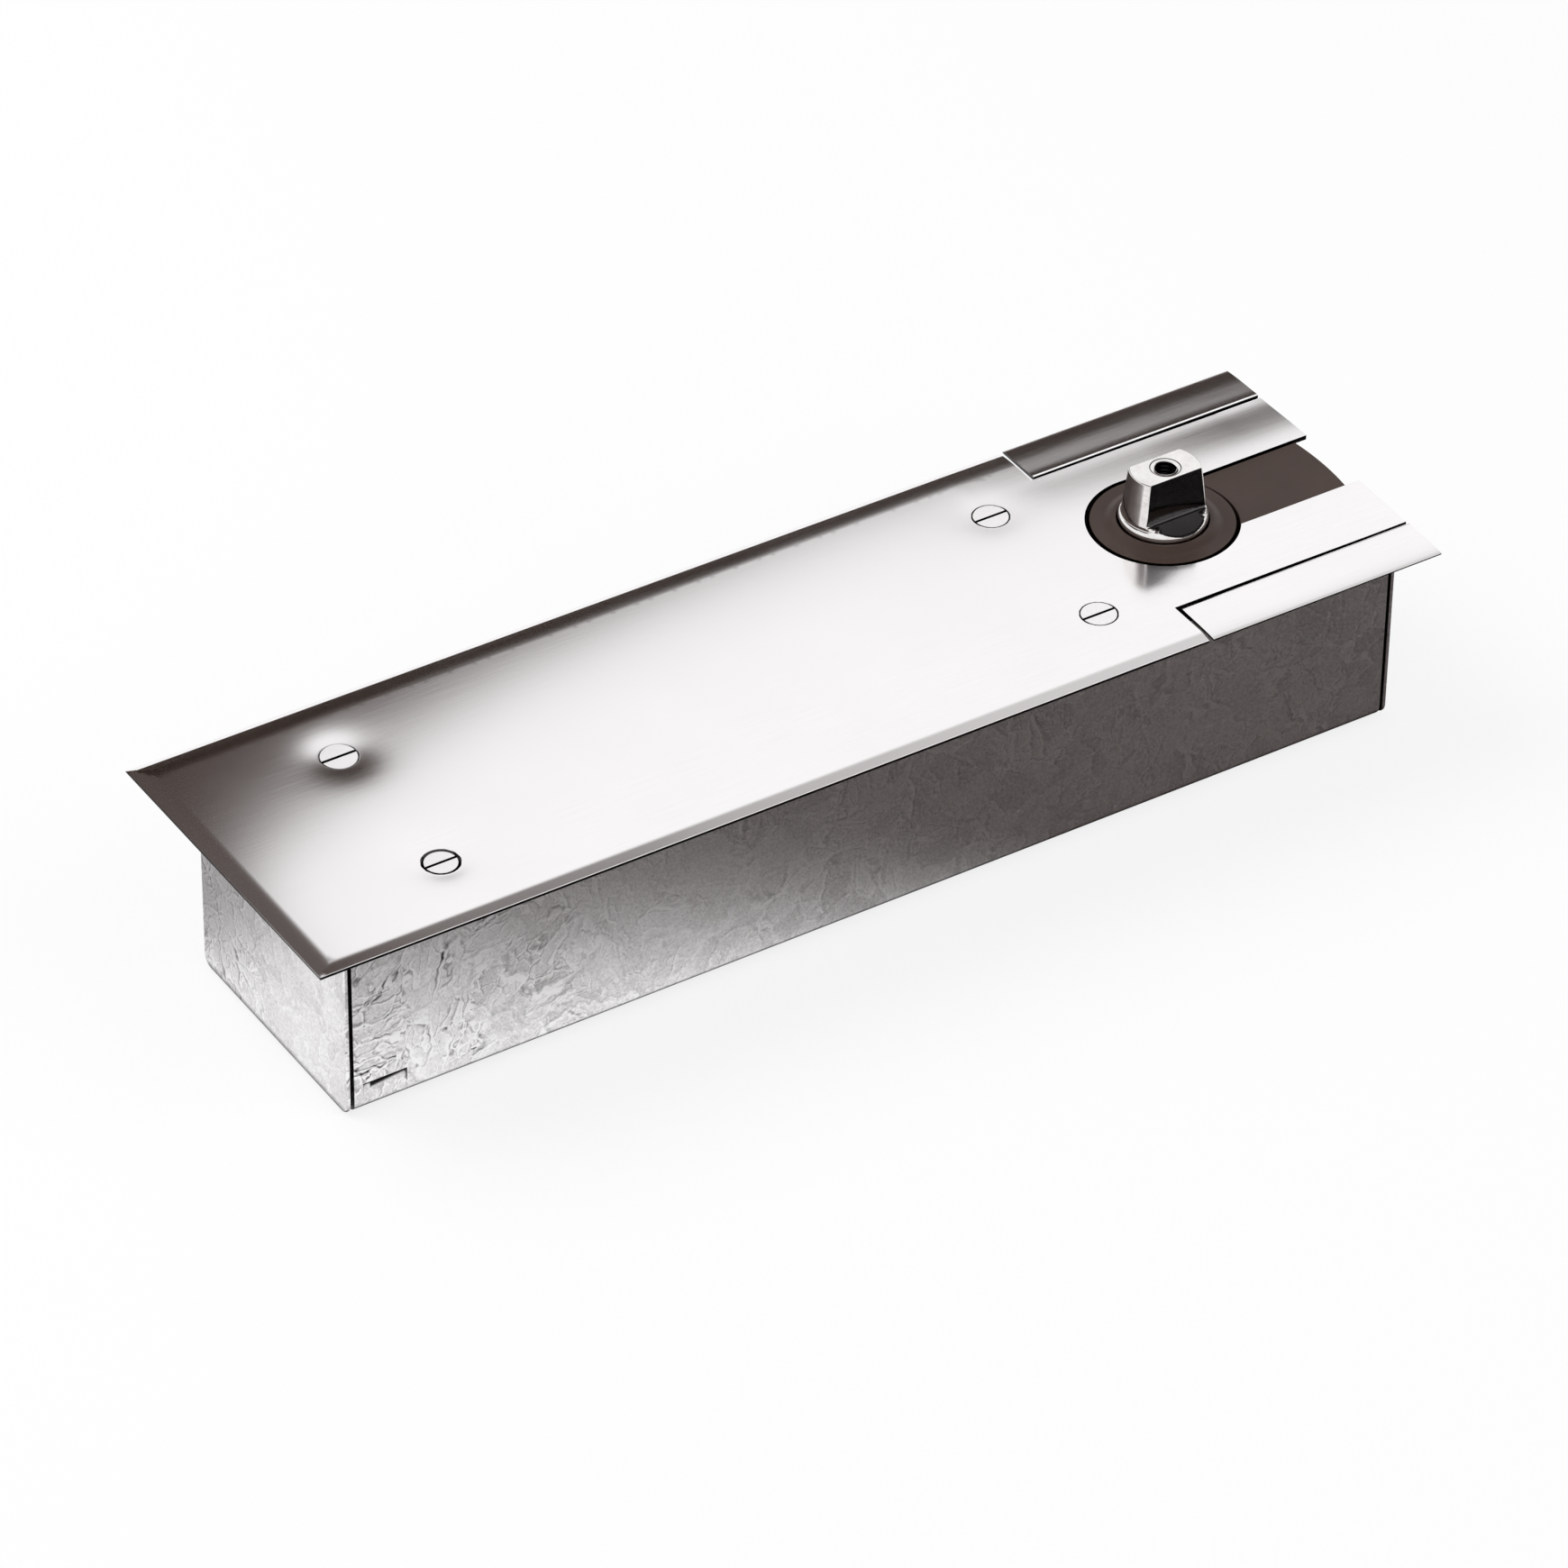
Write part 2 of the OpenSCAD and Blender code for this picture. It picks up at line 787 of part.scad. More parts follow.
// The castings round the bore: tube, end blocks and cover posts.
module body_solid() {
    translate([0, 0, axis_z])
        bar_x(body_left, hump_end, tube_r);
    translate([(right_block_left + body_right) / 2, 0, body_z0])
        linear_extrude(block_top - body_z0)
            rounded_rect(body_right - right_block_left, 2 * body_half_w, corner_r);
    translate([body_left + left_block_l / 2, 0, body_z0])
        linear_extrude(block_top - body_z0)
            rounded_rect(left_block_l, 2 * body_half_w, corner_r);
    at_cover_screws()
        bar_z(block_top - eps, dimple_z, post_r);
    translate([oil_plug_x, 0, 0])
        bar_z(axis_z + bore_r + 1, oil_boss_z, oil_boss_r);
}

// The hollows of the closer body.
module body_hollows() {
    translate([0, 0, axis_z])
        bar_x(body_left - eps, bore_end, bore_r);
    bar_z(axis_z - chamber_half_h, block_top + eps, chamber_r);
    block(
        [bore_end - eps, -pocket_half_w, axis_z - pocket_half_h],
        [pocket_right, pocket_half_w, axis_z + pocket_half_h]
    );
    bar_z(
        axis_z - chamber_half_h - lower_bearing_l, axis_z - chamber_half_h + eps,
        lower_bearing_r
    );
    translate([oil_plug_x, 0, 0])
        bar_z(axis_z, oil_boss_z + eps, oil_plug_r + thread_fit);
}

// Screw holes of the closer body.
module body_screw_holes() {
    at_level_points()
        bar_z(body_z0 - eps, block_top + eps, bush_r + thread_fit);
    at_cover_screws()
        bar_z(-cover_screw_l - 2, dimple_z + eps, cover_thread_r + thread_fit);
    at_lid_screws()
        bar_z(block_top - lid_screw_depth - 1, block_top + eps, lid_thread_r + thread_fit);
}

// Valve holes and oil channels of the closer body.
module body_channels() {
    for (side = [-1, 1]) {
        translate([valve_x, side * valve_y, 0])
            bar_z(axis_z - channel_r - 1, block_top + eps, valve_r + thread_fit);
        translate([0, side * valve_y, axis_z])
            bar_x(valve_x, -chamber_r / 3, channel_r);
        translate([valve_x, 0, axis_z])
            rotate([-90 * side, 0, 0]) {
                bar_z(bore_r - 2, body_half_w + eps, cross_r);
                bar_z(
                    body_half_w - channel_plug_l, body_half_w + eps,
                    channel_plug_r + press_fit
                );
            }
    }
}

// The oil-filled casting that holds the whole mechanism.
module closer_body() {
    color(iron)
        difference() {
            body_solid();
            body_hollows();
            body_screw_holes();
            body_channels();
        }
}

// Plugs in the outer ends of the cross channels.
module channel_plugs() {
    color(steel)
        for (side = [-1, 1])
            translate([valve_x, 0, axis_z])
                rotate([-90 * side, 0, 0])
                    bar_z(body_half_w - channel_plug_l, body_half_w - 0.2, channel_plug_r);
}

// Outline of the lid and its gasket.
module lid_outline() {
    rounded_rect(2 * lid_half_l, 2 * lid_half_w, corner_r);
}

// The lid of the cam chamber, with the hub for the spindle's bearing and seal.
module body_lid() {
    color(iron)
        difference() {
            union() {
                translate([0, 0, lid_z0])
                    linear_extrude(lid_t)
                        lid_outline();
                bar_z(axis_z + chamber_half_h, lid_z0 + eps, chamber_r - running_fit);
                bar_z(lid_z0, hub_z1, hub_r);
            }
            bar_z(axis_z, upper_bearing_z + upper_bearing_l, upper_bearing_r + press_fit);
            bar_z(axis_z, hub_z1 + eps, shaft_r + 1);
            bar_z(seal_shelf, hub_z1 + eps, seal_r + press_fit);
            bar_z(retainer_z, retainer_z + retainer_t + 0.1, seal_r + 0.6);
            at_lid_screws()
                bar_z(lid_z0 - eps, lid_z1 + eps, lid_thread_r + 0.3);
        }
}

module lid_gasket() {
    color(rubber_tone)
        translate([0, 0, block_top])
            linear_extrude(gasket_t)
                difference() {
                    lid_outline();
                    circle(chamber_r);
                    at_lid_screws()
                        circle(lid_thread_r + 0.3);
                }
}

// Socket-head screws of the lid.
module lid_screws() {
    color(steel)
        at_lid_screws()
            difference() {
                union() {
                    bar_z(block_top - lid_screw_depth, lid_z1, lid_thread_r);
                    bar_z(lid_z1, lid_z1 + lid_head_h, lid_head_r);
                }
                hex_socket(lid_z1 + lid_head_h, 2.5);
            }
}

module oil_plug() {
    head_z = oil_boss_z + washer_t;
    head_h = 2.5;
    color(steel)
        translate([oil_plug_x, 0, 0])
            difference() {
                union() {
                    bar_z(axis_z + bore_r + 1.2, head_z, oil_plug_r);
                    bar_z(head_z, head_z + head_h, oil_plug_r + 2.5);
                }
                hex_socket(head_z + head_h, 4);
            }
}

module oil_plug_washer() {
    color(brass_tone)
        translate([oil_plug_x, 0, 0])
            ring_z(oil_boss_z, oil_boss_z + washer_t, oil_plug_r + 0.2, oil_plug_r + 3);
}

// The plug that closes the bore and carries the adjusting screw.
module end_plug() {
    half_groove = ring_r + 0.1;
    color(steel)
        translate([0, 0, axis_z])
            difference() {
                union() {
                    bar_x(body_left, plug_inner, bore_r - thread_fit);
                    bar_x(body_left - plug_flange_t, body_left, bore_r + 3);
                }
                bar_x(body_left - eps - plug_flange_t, plug_inner + eps, screw_r + running_fit);
                difference() {
                    bar_x(plug_groove_x - half_groove, plug_groove_x + half_groove, bore_r + eps);
                    bar_x(plug_groove_x - 2, plug_groove_x + 2, bore_r - 2 * ring_r - 0.05);
                }
                bar_x(
                    screw_groove_x - half_groove, screw_groove_x + half_groove,
                    screw_r + 2 * ring_r + 0.1
                );
                for (side = [-1, 1])
                    translate([0, side * (screw_r + 7.5), 0])
                        bar_x(body_left - plug_flange_t - eps, body_left + 2, 1.8);
            }
}

module plug_seal() {
    color(rubber_tone)
        translate([plug_groove_x, 0, axis_z])
            rotate([0, 90, 0])
                o_ring(bore_r - ring_r - 0.03, ring_r - 0.02);
}

module screw_seal() {
    color(rubber_tone)
        translate([screw_groove_x, 0, axis_z])
            rotate([0, 90, 0])
                o_ring(screw_r + ring_r + 0.05, ring_r - 0.02);
}

// Levelling

// One hollow levelling screw that stands on a weld nut and carries the body.
module level_bush(x, y) {
    color(steel)
        translate([x, y, 0])
            difference() {
                bar_z(box_floor + nut_h + touch, bush_top, bush_r);
                bar_z(box_floor, bush_top + eps, hold_r + 0.4);
                translate([-bush_r - eps, -0.8, bush_top - 2])
                    cube([2 * bush_r + 2 * eps, 1.6, 2 + eps]);
            }
}

module level_bush_left_front() level_bush(level_x_left, -level_y);
module level_bush_left_rear() level_bush(level_x_left, level_y);
module level_bush_right_front() level_bush(level_x_right, -level_y);
module level_bush_right_rear() level_bush(level_x_right, level_y);

// Screws that pass through the bushes into the weld nuts and clamp the body down.
module hold_down_screws() {
    head_z = bush_top + touch;
    color(steel)
        at_level_points()
            difference() {
                union() {
                    bar_z(box_z0 + 0.3, head_z, hold_r);
                    bar_z(head_z, head_z + hold_head_h, bush_r - 0.7);
                }
                hex_socket(head_z + hold_head_h, 2);
            }
}

// The spindle and its bearings

// Half outline of the spindle, turned about its axis.
module spindle_turned() {
    shoulder_z = axis_z - chamber_half_h + thrust_t + touch;
    collar_z0 = hub_z1 + 0.6;
    rotate_extrude()
        polygon([
            [0, axis_z - chamber_half_h - lower_bearing_l + 0.5],
            [journal_r - 0.5, axis_z - chamber_half_h - lower_bearing_l + 0.5],
            [journal_r, axis_z - chamber_half_h - lower_bearing_l + 1],
            [journal_r, shoulder_z],
            [shaft_r, shoulder_z],
            [shaft_r, collar_z0],
            [collar_r, collar_z0],
            [collar_r, collar_top - 1],
            [collar_r - 0.5, collar_top - 0.3],
            [head_base_r, collar_top],
            [head_top_r + 0.5 * (head_base_r - head_top_r) / (spindle_top - collar_top),
                spindle_top - 0.5],
            [head_top_r - 0.5, spindle_top],
            [0, spindle_top]
        ]);
}

// What one flat and its sloping run-out take off the head, for the side at +Y.
module spindle_flat() {
    foot_z = collar_top + 1;
    run_slope = 0.4;
    far = collar_r + 4;
    flat_slope = (flats_base - flats_top) / 2 / (spindle_top - foot_z);
    translate([-far, 0, 0])
        rotate([90, 0, 90])
            linear_extrude(2 * far)
                polygon([
                    [flats_base / 2, foot_z],
                    [flats_top / 2 - flat_slope * eps, spindle_top + eps],
                    [far, spindle_top + eps],
                    [far, foot_z - run_slope * (far - flats_base / 2)]
                ]);
}

// The spindle. Its tapered head with two flats carries the door's arm.
module spindle() {
    color(steel)
        difference() {
            spindle_turned();
            for (side = [0, 1])
                mirror([0, side, 0])
                    spindle_flat();
            bar_z(spindle_top - thread_depth, spindle_top + eps, thread_r);
            cone_z(
                spindle_top - (csink_r - thread_r), spindle_top + eps,
                thread_r, csink_r + eps
            );
            block(
                [key_in, -key_w / 2 - press_fit, axis_z - cam_t / 2],
                [shaft_r + eps, key_w / 2 + press_fit, axis_z + cam_t / 2]
            );
        }
}

module cam_key() {
    color(steel)
        block(
            [key_in + 0.1, -key_w / 2, axis_z - cam_t / 2 + 0.1],
            [key_out - 0.1, key_w / 2, axis_z + cam_t / 2 - 0.1]
        );
}

// Distance from the spindle axis to a roller's centre, at an angle from the cam's notch.
function path_r(angle) = path_0 + lift_per_degree * angle;

// Rise of that distance for one radian.
path_rise = lift_per_degree * 180 / PI;

// A point of the cam's flank: the roller's path moved in by the roller's radius.
function flank_point(angle) =
    let (
        r = path_r(angle),
        n = sqrt(r * r + path_rise * path_rise),
        c = roller_r + cam_play,
        radial = r - c * r / n,
        across = c * path_rise / n
    )
    [radial * cos(angle) - across * sin(angle), radial * sin(angle) + across * cos(angle)];

notch_half = atan(path_rise / path_0);

// A point of the round seat in which the drive roller rests.
function notch_point(angle) =
    [path_0 - (roller_r + cam_play) * cos(angle), (roller_r + cam_play) * sin(angle)];

// The half of the cam on one side of its notch, notch towards +X.
module cam_half() {
    seat = [for (i = [0 : 4]) notch_point(notch_half * i / 4)];
    flank = [for (i = [1 : 45]) flank_point(4 * i)];
    intersection() {
        polygon(concat([[0, 0]], seat, flank));
        translate([-2 * path_180, 0])
            square([4 * path_180, 2 * path_180]);
    }
}

// The heart-shaped cam. The roller's distance from the axis grows evenly with the angle.
module cam_disc() {
    color(steel)
        translate([0, 0, axis_z - cam_t / 2])
            difference() {
                linear_extrude(cam_t)
                    rotate(180)
                        union() {
                            cam_half();
                            mirror([0, 1])
                                cam_half();
                        }
                translate([0, 0, -eps])
                    cylinder(h = cam_t + 2 * eps, r = shaft_r + press_fit);
                block(
                    [shaft_r - 1, -key_w / 2 - press_fit, -eps],
                    [key_out, key_w / 2 + press_fit, cam_t + eps]
                );
            }
}

// A needle bearing: an outer shell and its needles.
module needle_bearing(z0, length, r_shaft, r_out, count) {
    needle_r = 0.95;
    needle_mid = r_shaft + running_fit + needle_r;
    shell_in = needle_mid + needle_r + 0.03;
    ring_z(z0, z0 + length, shell_in, r_out);
    for (i = [0 : count - 1])
        rotate(i * 360 / count)
            translate([needle_mid, 0, 0])
                bar_z(z0 + 0.5, z0 + length - 0.5, needle_r);
}

module upper_bearing() {
    color(steel)
        needle_bearing(upper_bearing_z, upper_bearing_l, shaft_r, upper_bearing_r, 24);
}

module lower_bearing() {
    color(steel)
        needle_bearing(
            axis_z - chamber_half_h - lower_bearing_l, lower_bearing_l - 0.3,
            journal_r, lower_bearing_r - press_fit, 20
        );
}

// The flat roller bearing that carries the weight of the door.
module thrust_bearing() {
    race_t = 0.9;
    roller = (thrust_t - 2 * race_t) / 2 - 0.02;
    r_in = journal_r + 0.4;
    r_out = journal_r + 5;
    z0 = axis_z - chamber_half_h;
    color(steel) {
        ring_z(z0, z0 + race_t, r_in, r_out);
        ring_z(z0 + thrust_t - race_t, z0 + thrust_t, r_in, r_out);
        for (i = [0 : 11])
            rotate(i * 30)
                translate([0, 0, z0 + thrust_t / 2])
                    bar_x(r_in + 0.5, r_out - 0.5, roller);
    }
}

// The lip seal that keeps the oil in.
module spindle_seal() {
    color(rubber_tone)
        rotate_extrude()
            polygon([
                [shaft_r + running_fit, seal_shelf + 1.2],
                [shaft_r + running_fit + 0.8, seal_shelf + 0.2],
                [seal_r - 2, seal_shelf],
                [seal_r, seal_shelf],
                [seal_r, seal_shelf + seal_t],
                [shaft_r + 2, seal_shelf + seal_t],
                [shaft_r + running_fit, seal_shelf + 2.2]
            ]);
}

// The spring ring that holds the seal in the lid.
module seal_retainer() {
    color(steel)
        difference() {
            ring_z(retainer_z, retainer_z + retainer_t, seal_r - 2.5, seal_r + 0.5);
            block(
                [-seal_r - 2, -2, retainer_z - eps],
                [0, 2, retainer_z + retainer_t + eps]
            );
        }
}

// The carriage

// Outline of a carriage strap from above.
module strap_outline() {
    neck_x0 = piston_right + 1.5;
    wide_x0 = -path_0 + roller_pin_r + 0.5;
    slot_half = shaft_r + slot_play;
    wide_x1 = slot_half + stroke + 4.5;
    difference() {
        union() {
            translate([neck_x0, -strap_neck_w / 2])
                square([path_180 - neck_x0, strap_neck_w]);
            translate([(wide_x0 + wide_x1) / 2, 0])
                rounded_rect(wide_x1 - wide_x0, strap_w, 5);
            intersection() {
                translate([path_180, 0])
                    circle(strap_neck_w / 2);
                translate([path_180 - eps, -strap_neck_w / 2])
                    square([strap_end + eps, strap_neck_w]);
            }
        }
        translate([0, -slot_half])
            square([stroke + 1, 2 * slot_half]);
        circle(slot_half);
        translate([stroke + 1, 0])
            circle(slot_half);
        for (x = [-path_0, path_180])
            translate([x, 0])
                circle(roller_pin_r + press_fit);
        for (side = [-1, 1])
            translate([strap_pin_x, side * strap_pin_y])
                circle(strap_pin_r + press_fit);
    }
}

module strap_upper() {
    color(steel)
        translate([0, 0, axis_z + strap_in])
            linear_extrude(strap_t)
                strap_outline();
}

module strap_lower() {
    color(steel)
        translate([0, 0, axis_z - strap_out])
            linear_extrude(strap_t)
                strap_outline();
}

module strap_pins() {
    color(steel)
        for (side = [-1, 1])
            translate([strap_pin_x, side * strap_pin_y, 0])
                bar_z(axis_z - strap_out, axis_z + strap_out, strap_pin_r);
}

// A cam roller between the straps.
module roller(x) {
    color(steel)
        translate([x, 0, axis_z])
            ring_z(-roller_half_h, roller_half_h, roller_pin_r + running_fit, roller_r);
}

module roller_pin(x) {
    color(steel)
        translate([x, 0, 0])
            bar_z(axis_z - strap_out, axis_z + strap_out, roller_pin_r);
}

module drive_roller() roller(-path_0);
module drive_roller_pin() roller_pin(-path_0);
module return_roller() roller(path_180);
module return_roller_pin() roller_pin(path_180);

// The piston, its pilot in the spring and the tongue that the straps hold.
module piston() {
    color(steel)
        translate([0, 0, axis_z])
            difference() {
                union() {
                    bar_x(piston_left, piston_right, bore_r - running_fit);
                    bar_x(piston_left - pilot_l, piston_left, guide_r);
                    block(
                        [piston_right - eps, -tongue_half_w, -strap_in],
                        [piston_right + tongue_l, tongue_half_w, strap_in]
                    );
                }
                difference() {
                    bar_x(ring_x - ring_half, ring_x + ring_half, bore_r + eps);
                    bar_x(ring_x - 3, ring_x + 3, bore_r - ring_depth);
                }
                for (side = [-1, 1])
                    translate([strap_pin_x, side * strap_pin_y, 0])
                        bar_z(-strap_in - eps, strap_in + eps, strap_pin_r + press_fit);
                for (side = [-1, 1])
                    translate([0, 0, side * valve_bore_z]) {
                        bar_x(piston_left - eps, piston_right + eps, port_r);
                        bar_x(piston_right - valve_bore_l, piston_right + eps, ball_room_r);
                    }
                bar_x(piston_left - pilot_l - eps, piston_left + 3, guide_r - 4);
            }
}

module piston_ring() {
    color(brass_tone)
        translate([0, 0, axis_z])
            difference() {
                bar_x(ring_x - ring_half + 0.05, ring_x + ring_half - 0.05, bore_r - 0.02);
                bar_x(ring_x - 3, ring_x + 3, bore_r - ring_depth + 0.03);
            }
}

module check_valve_ball() {
    color(steel)
        translate([ball_x, 0, axis_z + valve_bore_z])
            sphere(ball_r);
}

// The pressed cage that keeps the check ball in the piston.
module check_valve_seat() {
    color(brass_tone)
        translate([0, 0, axis_z + valve_bore_z])
            difference() {
                bar_x(piston_right - cage_l - 0.2, piston_right - 0.2, ball_room_r - press_fit);
                bar_x(piston_right - cage_l - eps, piston_right + eps, port_r);
            }
}

// The pressure relief cartridge in the lower bore of the piston.
module relief_valve() {
    color(brass_tone)
        translate([0, 0, axis_z - valve_bore_z])
            difference() {
                bar_x(
                    piston_right - valve_bore_l + 0.2, piston_right - 0.2,
                    ball_room_r - press_fit
                );
                bar_x(piston_right - 3, piston_right + eps, port_r);
            }
}

// The closing spring

// Distance along the spring's centre line after a number of turns. The end turns lie close.
function spring_travel(turn) =
    let (
        total = piston_left - spring_plate_x1 - 2 * (wire_r + spring_gap),
        close_pitch = 2 * wire_r + 0.6,
        open_pitch = (total - 2 * close_pitch) / (spring_turns - 2)
    )
    turn < 1 ? turn * close_pitch
    : turn > spring_turns - 1 ? total - (spring_turns - turn) * close_pitch
    : close_pitch + (turn - 1) * open_pitch;

module closing_spring() {
    steps = 8;
    sides = 6;
    rings = spring_turns * steps;
    x0 = spring_plate_x1 + wire_r + spring_gap;
    points = [
        for (i = [0 : rings])
            for (j = [0 : sides - 1])
                let (
                    turn = i / steps,
                    r = spring_r + wire_r * cos(j * 360 / sides),
                    x = x0 + spring_travel(turn) + wire_r * sin(j * 360 / sides)
                )
                [x, r * cos(360 * turn), axis_z + r * sin(360 * turn)]
    ];
    walls = [
        for (i = [0 : rings - 1])
            for (j = [0 : sides - 1])
                let (
                    a = i * sides + j,
                    b = i * sides + (j + 1) % sides
                )
                each [[a, b, b + sides], [a, b + sides, a + sides]]
    ];
    first_end = [for (j = [1 : sides - 2]) [0, j + 1, j]];
    last = rings * sides;
    last_end = [for (j = [1 : sides - 2]) [last, last + j, last + j + 1]];
    color(steel)
        polyhedron(points, concat(walls, first_end, last_end));
}

// The plate that the spring bears on. The adjusting screw moves it along the bore.
module spring_plate() {
    color(steel)
        translate([0, 0, axis_z])
            difference() {
                union() {
                    bar_x(spring_plate_x0, spring_plate_x1, bore_r - 0.3);
                    bar_x(spring_plate_x1 - eps, spring_plate_x1 + plate_hub_l, guide_r);
                }
                bar_x(
                    spring_plate_x0 - eps, spring_plate_x1 + plate_hub_l + eps,
                    screw_r + thread_fit
                );
            }
}

// The screw that moves the spring plate. It turns in the end plug.
module force_screw() {
    head_x1 = body_left - plug_flange_t - 2 * touch;
    tip_x = spring_plate_x1 + plate_hub_l + 11;
    color(steel)
        translate([0, 0, axis_z])
            difference() {
                union() {
                    translate([head_x1 - screw_head_h, 0, 0])
                        rotate([0, 90, 0])
                            cylinder(h = screw_head_h, r = screw_head_af / 2 / cos(30), $fn = 6);
                    bar_x(head_x1 - eps, tip_x, screw_r);
                }
                difference() {
                    bar_x(clip_x - touch, clip_x + clip_t + touch, screw_r + eps);
                    bar_x(clip_x - 1, clip_x + clip_t + 1, clip_groove_r);
                }
            }
}

// The snap ring that keeps the adjusting screw in the end plug.
module screw_circlip() {
    color(steel)
        translate([0, 0, axis_z])
            difference() {
                bar_x(clip_x, clip_x + clip_t, screw_r + 2.5);
                bar_x(clip_x - eps, clip_x + clip_t + eps, clip_groove_r + 0.02);
                block([clip_x - eps, -1.5, 0], [clip_x + clip_t + eps, 1.5, screw_r + 4]);
            }
}

// The valves

// One valve screw with its tapered tip and the groove for its O-ring.
module valve_screw(side) {
    color(brass_tone)
        translate([valve_x, side * valve_y, 0])
            difference() {
                union() {
                    bar_z(valve_top - valve_l, valve_top, valve_r);
                    cone_z(valve_top - valve_l - 3, valve_top - valve_l, 1, valve_r - 0.5);
                }
                difference() {
                    bar_z(valve_groove_z - 0.7, valve_groove_z + 0.7, valve_r + eps);
                    bar_z(valve_groove_z - 1, valve_groove_z + 1, valve_r - 2 * valve_seal_r);
                }
                translate([-valve_r - eps, -0.6, valve_top - 1.5])
                    cube([2 * valve_r + 2 * eps, 1.2, 1.5 + eps]);
            }
}

module valve_seal(side) {
    color(rubber_tone)
        translate([valve_x, side * valve_y, valve_groove_z])
            o_ring(valve_r - valve_seal_r + 0.02, valve_seal_r - 0.01);
}

module closing_valve() valve_screw(-1);
module closing_valve_seal() valve_seal(-1);
module latch_valve() valve_screw(1);
module latch_valve_seal() valve_seal(1);

box_shell();
box_end_left();
box_end_right();
floor_nuts();
cover_plate();
cover_screws();
edge_strip_front();
edge_strip_rear();
slot_filler();
collar_disc();
closer_body();
body_lid();
lid_gasket();
lid_screws();
oil_plug();
oil_plug_washer();
channel_plugs();
end_plug();
plug_seal();
hold_down_screws();
level_bush_left_front();
level_bush_left_rear();
level_bush_right_front();
level_bush_right_rear();
spindle();
cam_disc();
cam_key();
upper_bearing();
lower_bearing();
thrust_bearing();
spindle_seal();
seal_retainer();
strap_upper();
strap_lower();
strap_pins();
drive_roller();
drive_roller_pin();
return_roller();
return_roller_pin();
piston();
piston_ring();
check_valve_ball();
check_valve_seat();
relief_valve();
closing_spring();
spring_plate();
force_screw();
screw_seal();
screw_circlip();
closing_valve();
closing_valve_seal();
latch_valve();
latch_valve_seal();
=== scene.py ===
"""Dresses the floor spring for a studio picture: fine sheet forms and procedural materials."""
import json
import math

import bmesh
import bpy
import numpy as np
from mathutils import Matrix, Vector
from mathutils.geometry import delaunay_2d_cdt


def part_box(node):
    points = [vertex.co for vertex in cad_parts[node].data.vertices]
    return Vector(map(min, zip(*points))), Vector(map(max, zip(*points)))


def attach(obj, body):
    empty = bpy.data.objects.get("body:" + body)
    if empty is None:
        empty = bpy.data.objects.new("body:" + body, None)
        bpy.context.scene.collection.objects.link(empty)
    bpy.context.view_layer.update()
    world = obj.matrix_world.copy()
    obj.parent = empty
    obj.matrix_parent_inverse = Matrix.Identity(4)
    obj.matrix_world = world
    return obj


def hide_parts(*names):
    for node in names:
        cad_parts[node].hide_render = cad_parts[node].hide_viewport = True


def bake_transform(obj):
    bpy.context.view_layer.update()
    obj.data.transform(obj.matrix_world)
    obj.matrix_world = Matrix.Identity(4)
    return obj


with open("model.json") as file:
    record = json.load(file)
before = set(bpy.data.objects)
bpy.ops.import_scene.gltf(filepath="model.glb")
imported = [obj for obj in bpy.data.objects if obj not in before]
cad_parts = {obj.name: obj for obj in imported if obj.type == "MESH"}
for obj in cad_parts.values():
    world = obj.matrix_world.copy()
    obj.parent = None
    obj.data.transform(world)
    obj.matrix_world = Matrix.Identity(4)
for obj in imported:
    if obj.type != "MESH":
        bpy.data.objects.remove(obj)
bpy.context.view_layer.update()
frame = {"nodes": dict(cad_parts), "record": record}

nodes = frame["nodes"]
MM = 0.001


def node_box(node):
    """Lowest and highest corner of a CAD node, in millimetres."""
    return [[c / MM for c in corner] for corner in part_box(node)]


def placed(name, data):
    """A new object in the scene."""
    obj = bpy.data.objects.new(name, data)
    bpy.context.scene.collection.objects.link(obj)
    return obj


def baked(bm, name):
    """The mesh of a bmesh, which is freed."""
    mesh = bpy.data.meshes.new(name)
    bm.to_mesh(mesh)
    bm.free()
    return mesh


# Sizes in millimetres, from the frame where it has them
plate_low, plate_high = node_box("cover_plate")
box_low, box_high = node_box("box_shell")
strip_low, strip_high = node_box("edge_strip_rear")
disc_low, disc_high = node_box("collar_disc")
spindle_low, spindle_high = node_box("spindle")

PLATE_LEFT, PLATE_RIGHT, PLATE_HALF_W = plate_low[0], plate_high[0], plate_high[1]
PLATE_T = 1.5
NOTCH_X, NOTCH_Y = -20.5, 35.6
SLOT_Y = 12.9
DISC_R = disc_high[0]
DISC_HOLE_R = DISC_R + 0.75
SCREW_X = (-251.0, -40.0)
SCREW_Y = 27.0
SCREWS = [(x, y) for x in SCREW_X for y in (-SCREW_Y, SCREW_Y)]
SCREW_R = 5.25
SCREW_HOLE_R = 5.6
DISH_W = 5.4
DISH_DEPTH = {SCREW_X[0]: 0.45, SCREW_X[1]: 0.12}
# Slope of the legs beside the spindle and of the edge strips, by distance from the middle line
LEG_Y = (12.9, 15, 18, 21, 24, 27, 30, 31.5, 33, 34, 35.6, 37)
LEG_SLOPE = (0, 0.2, 0.5, 0.75, 0.9, 0.95, 0.9, 0.75, 0.35, 0.05, -0.1, 0)
STRIP_Y = (36.8, 37.15, 37.4, 38, 39, 40, 41, 43, 45, 46, 47, 48, 50, 51.6, 52.5)
STRIP_SLOPE = (
    -0.45, -0.2, 0.07, 0.075, 0.04, 0.02, 0.016, 0.014, 0.018, 0.027, 0.04, 0.055, 0.075, 0.1, 0.25
)


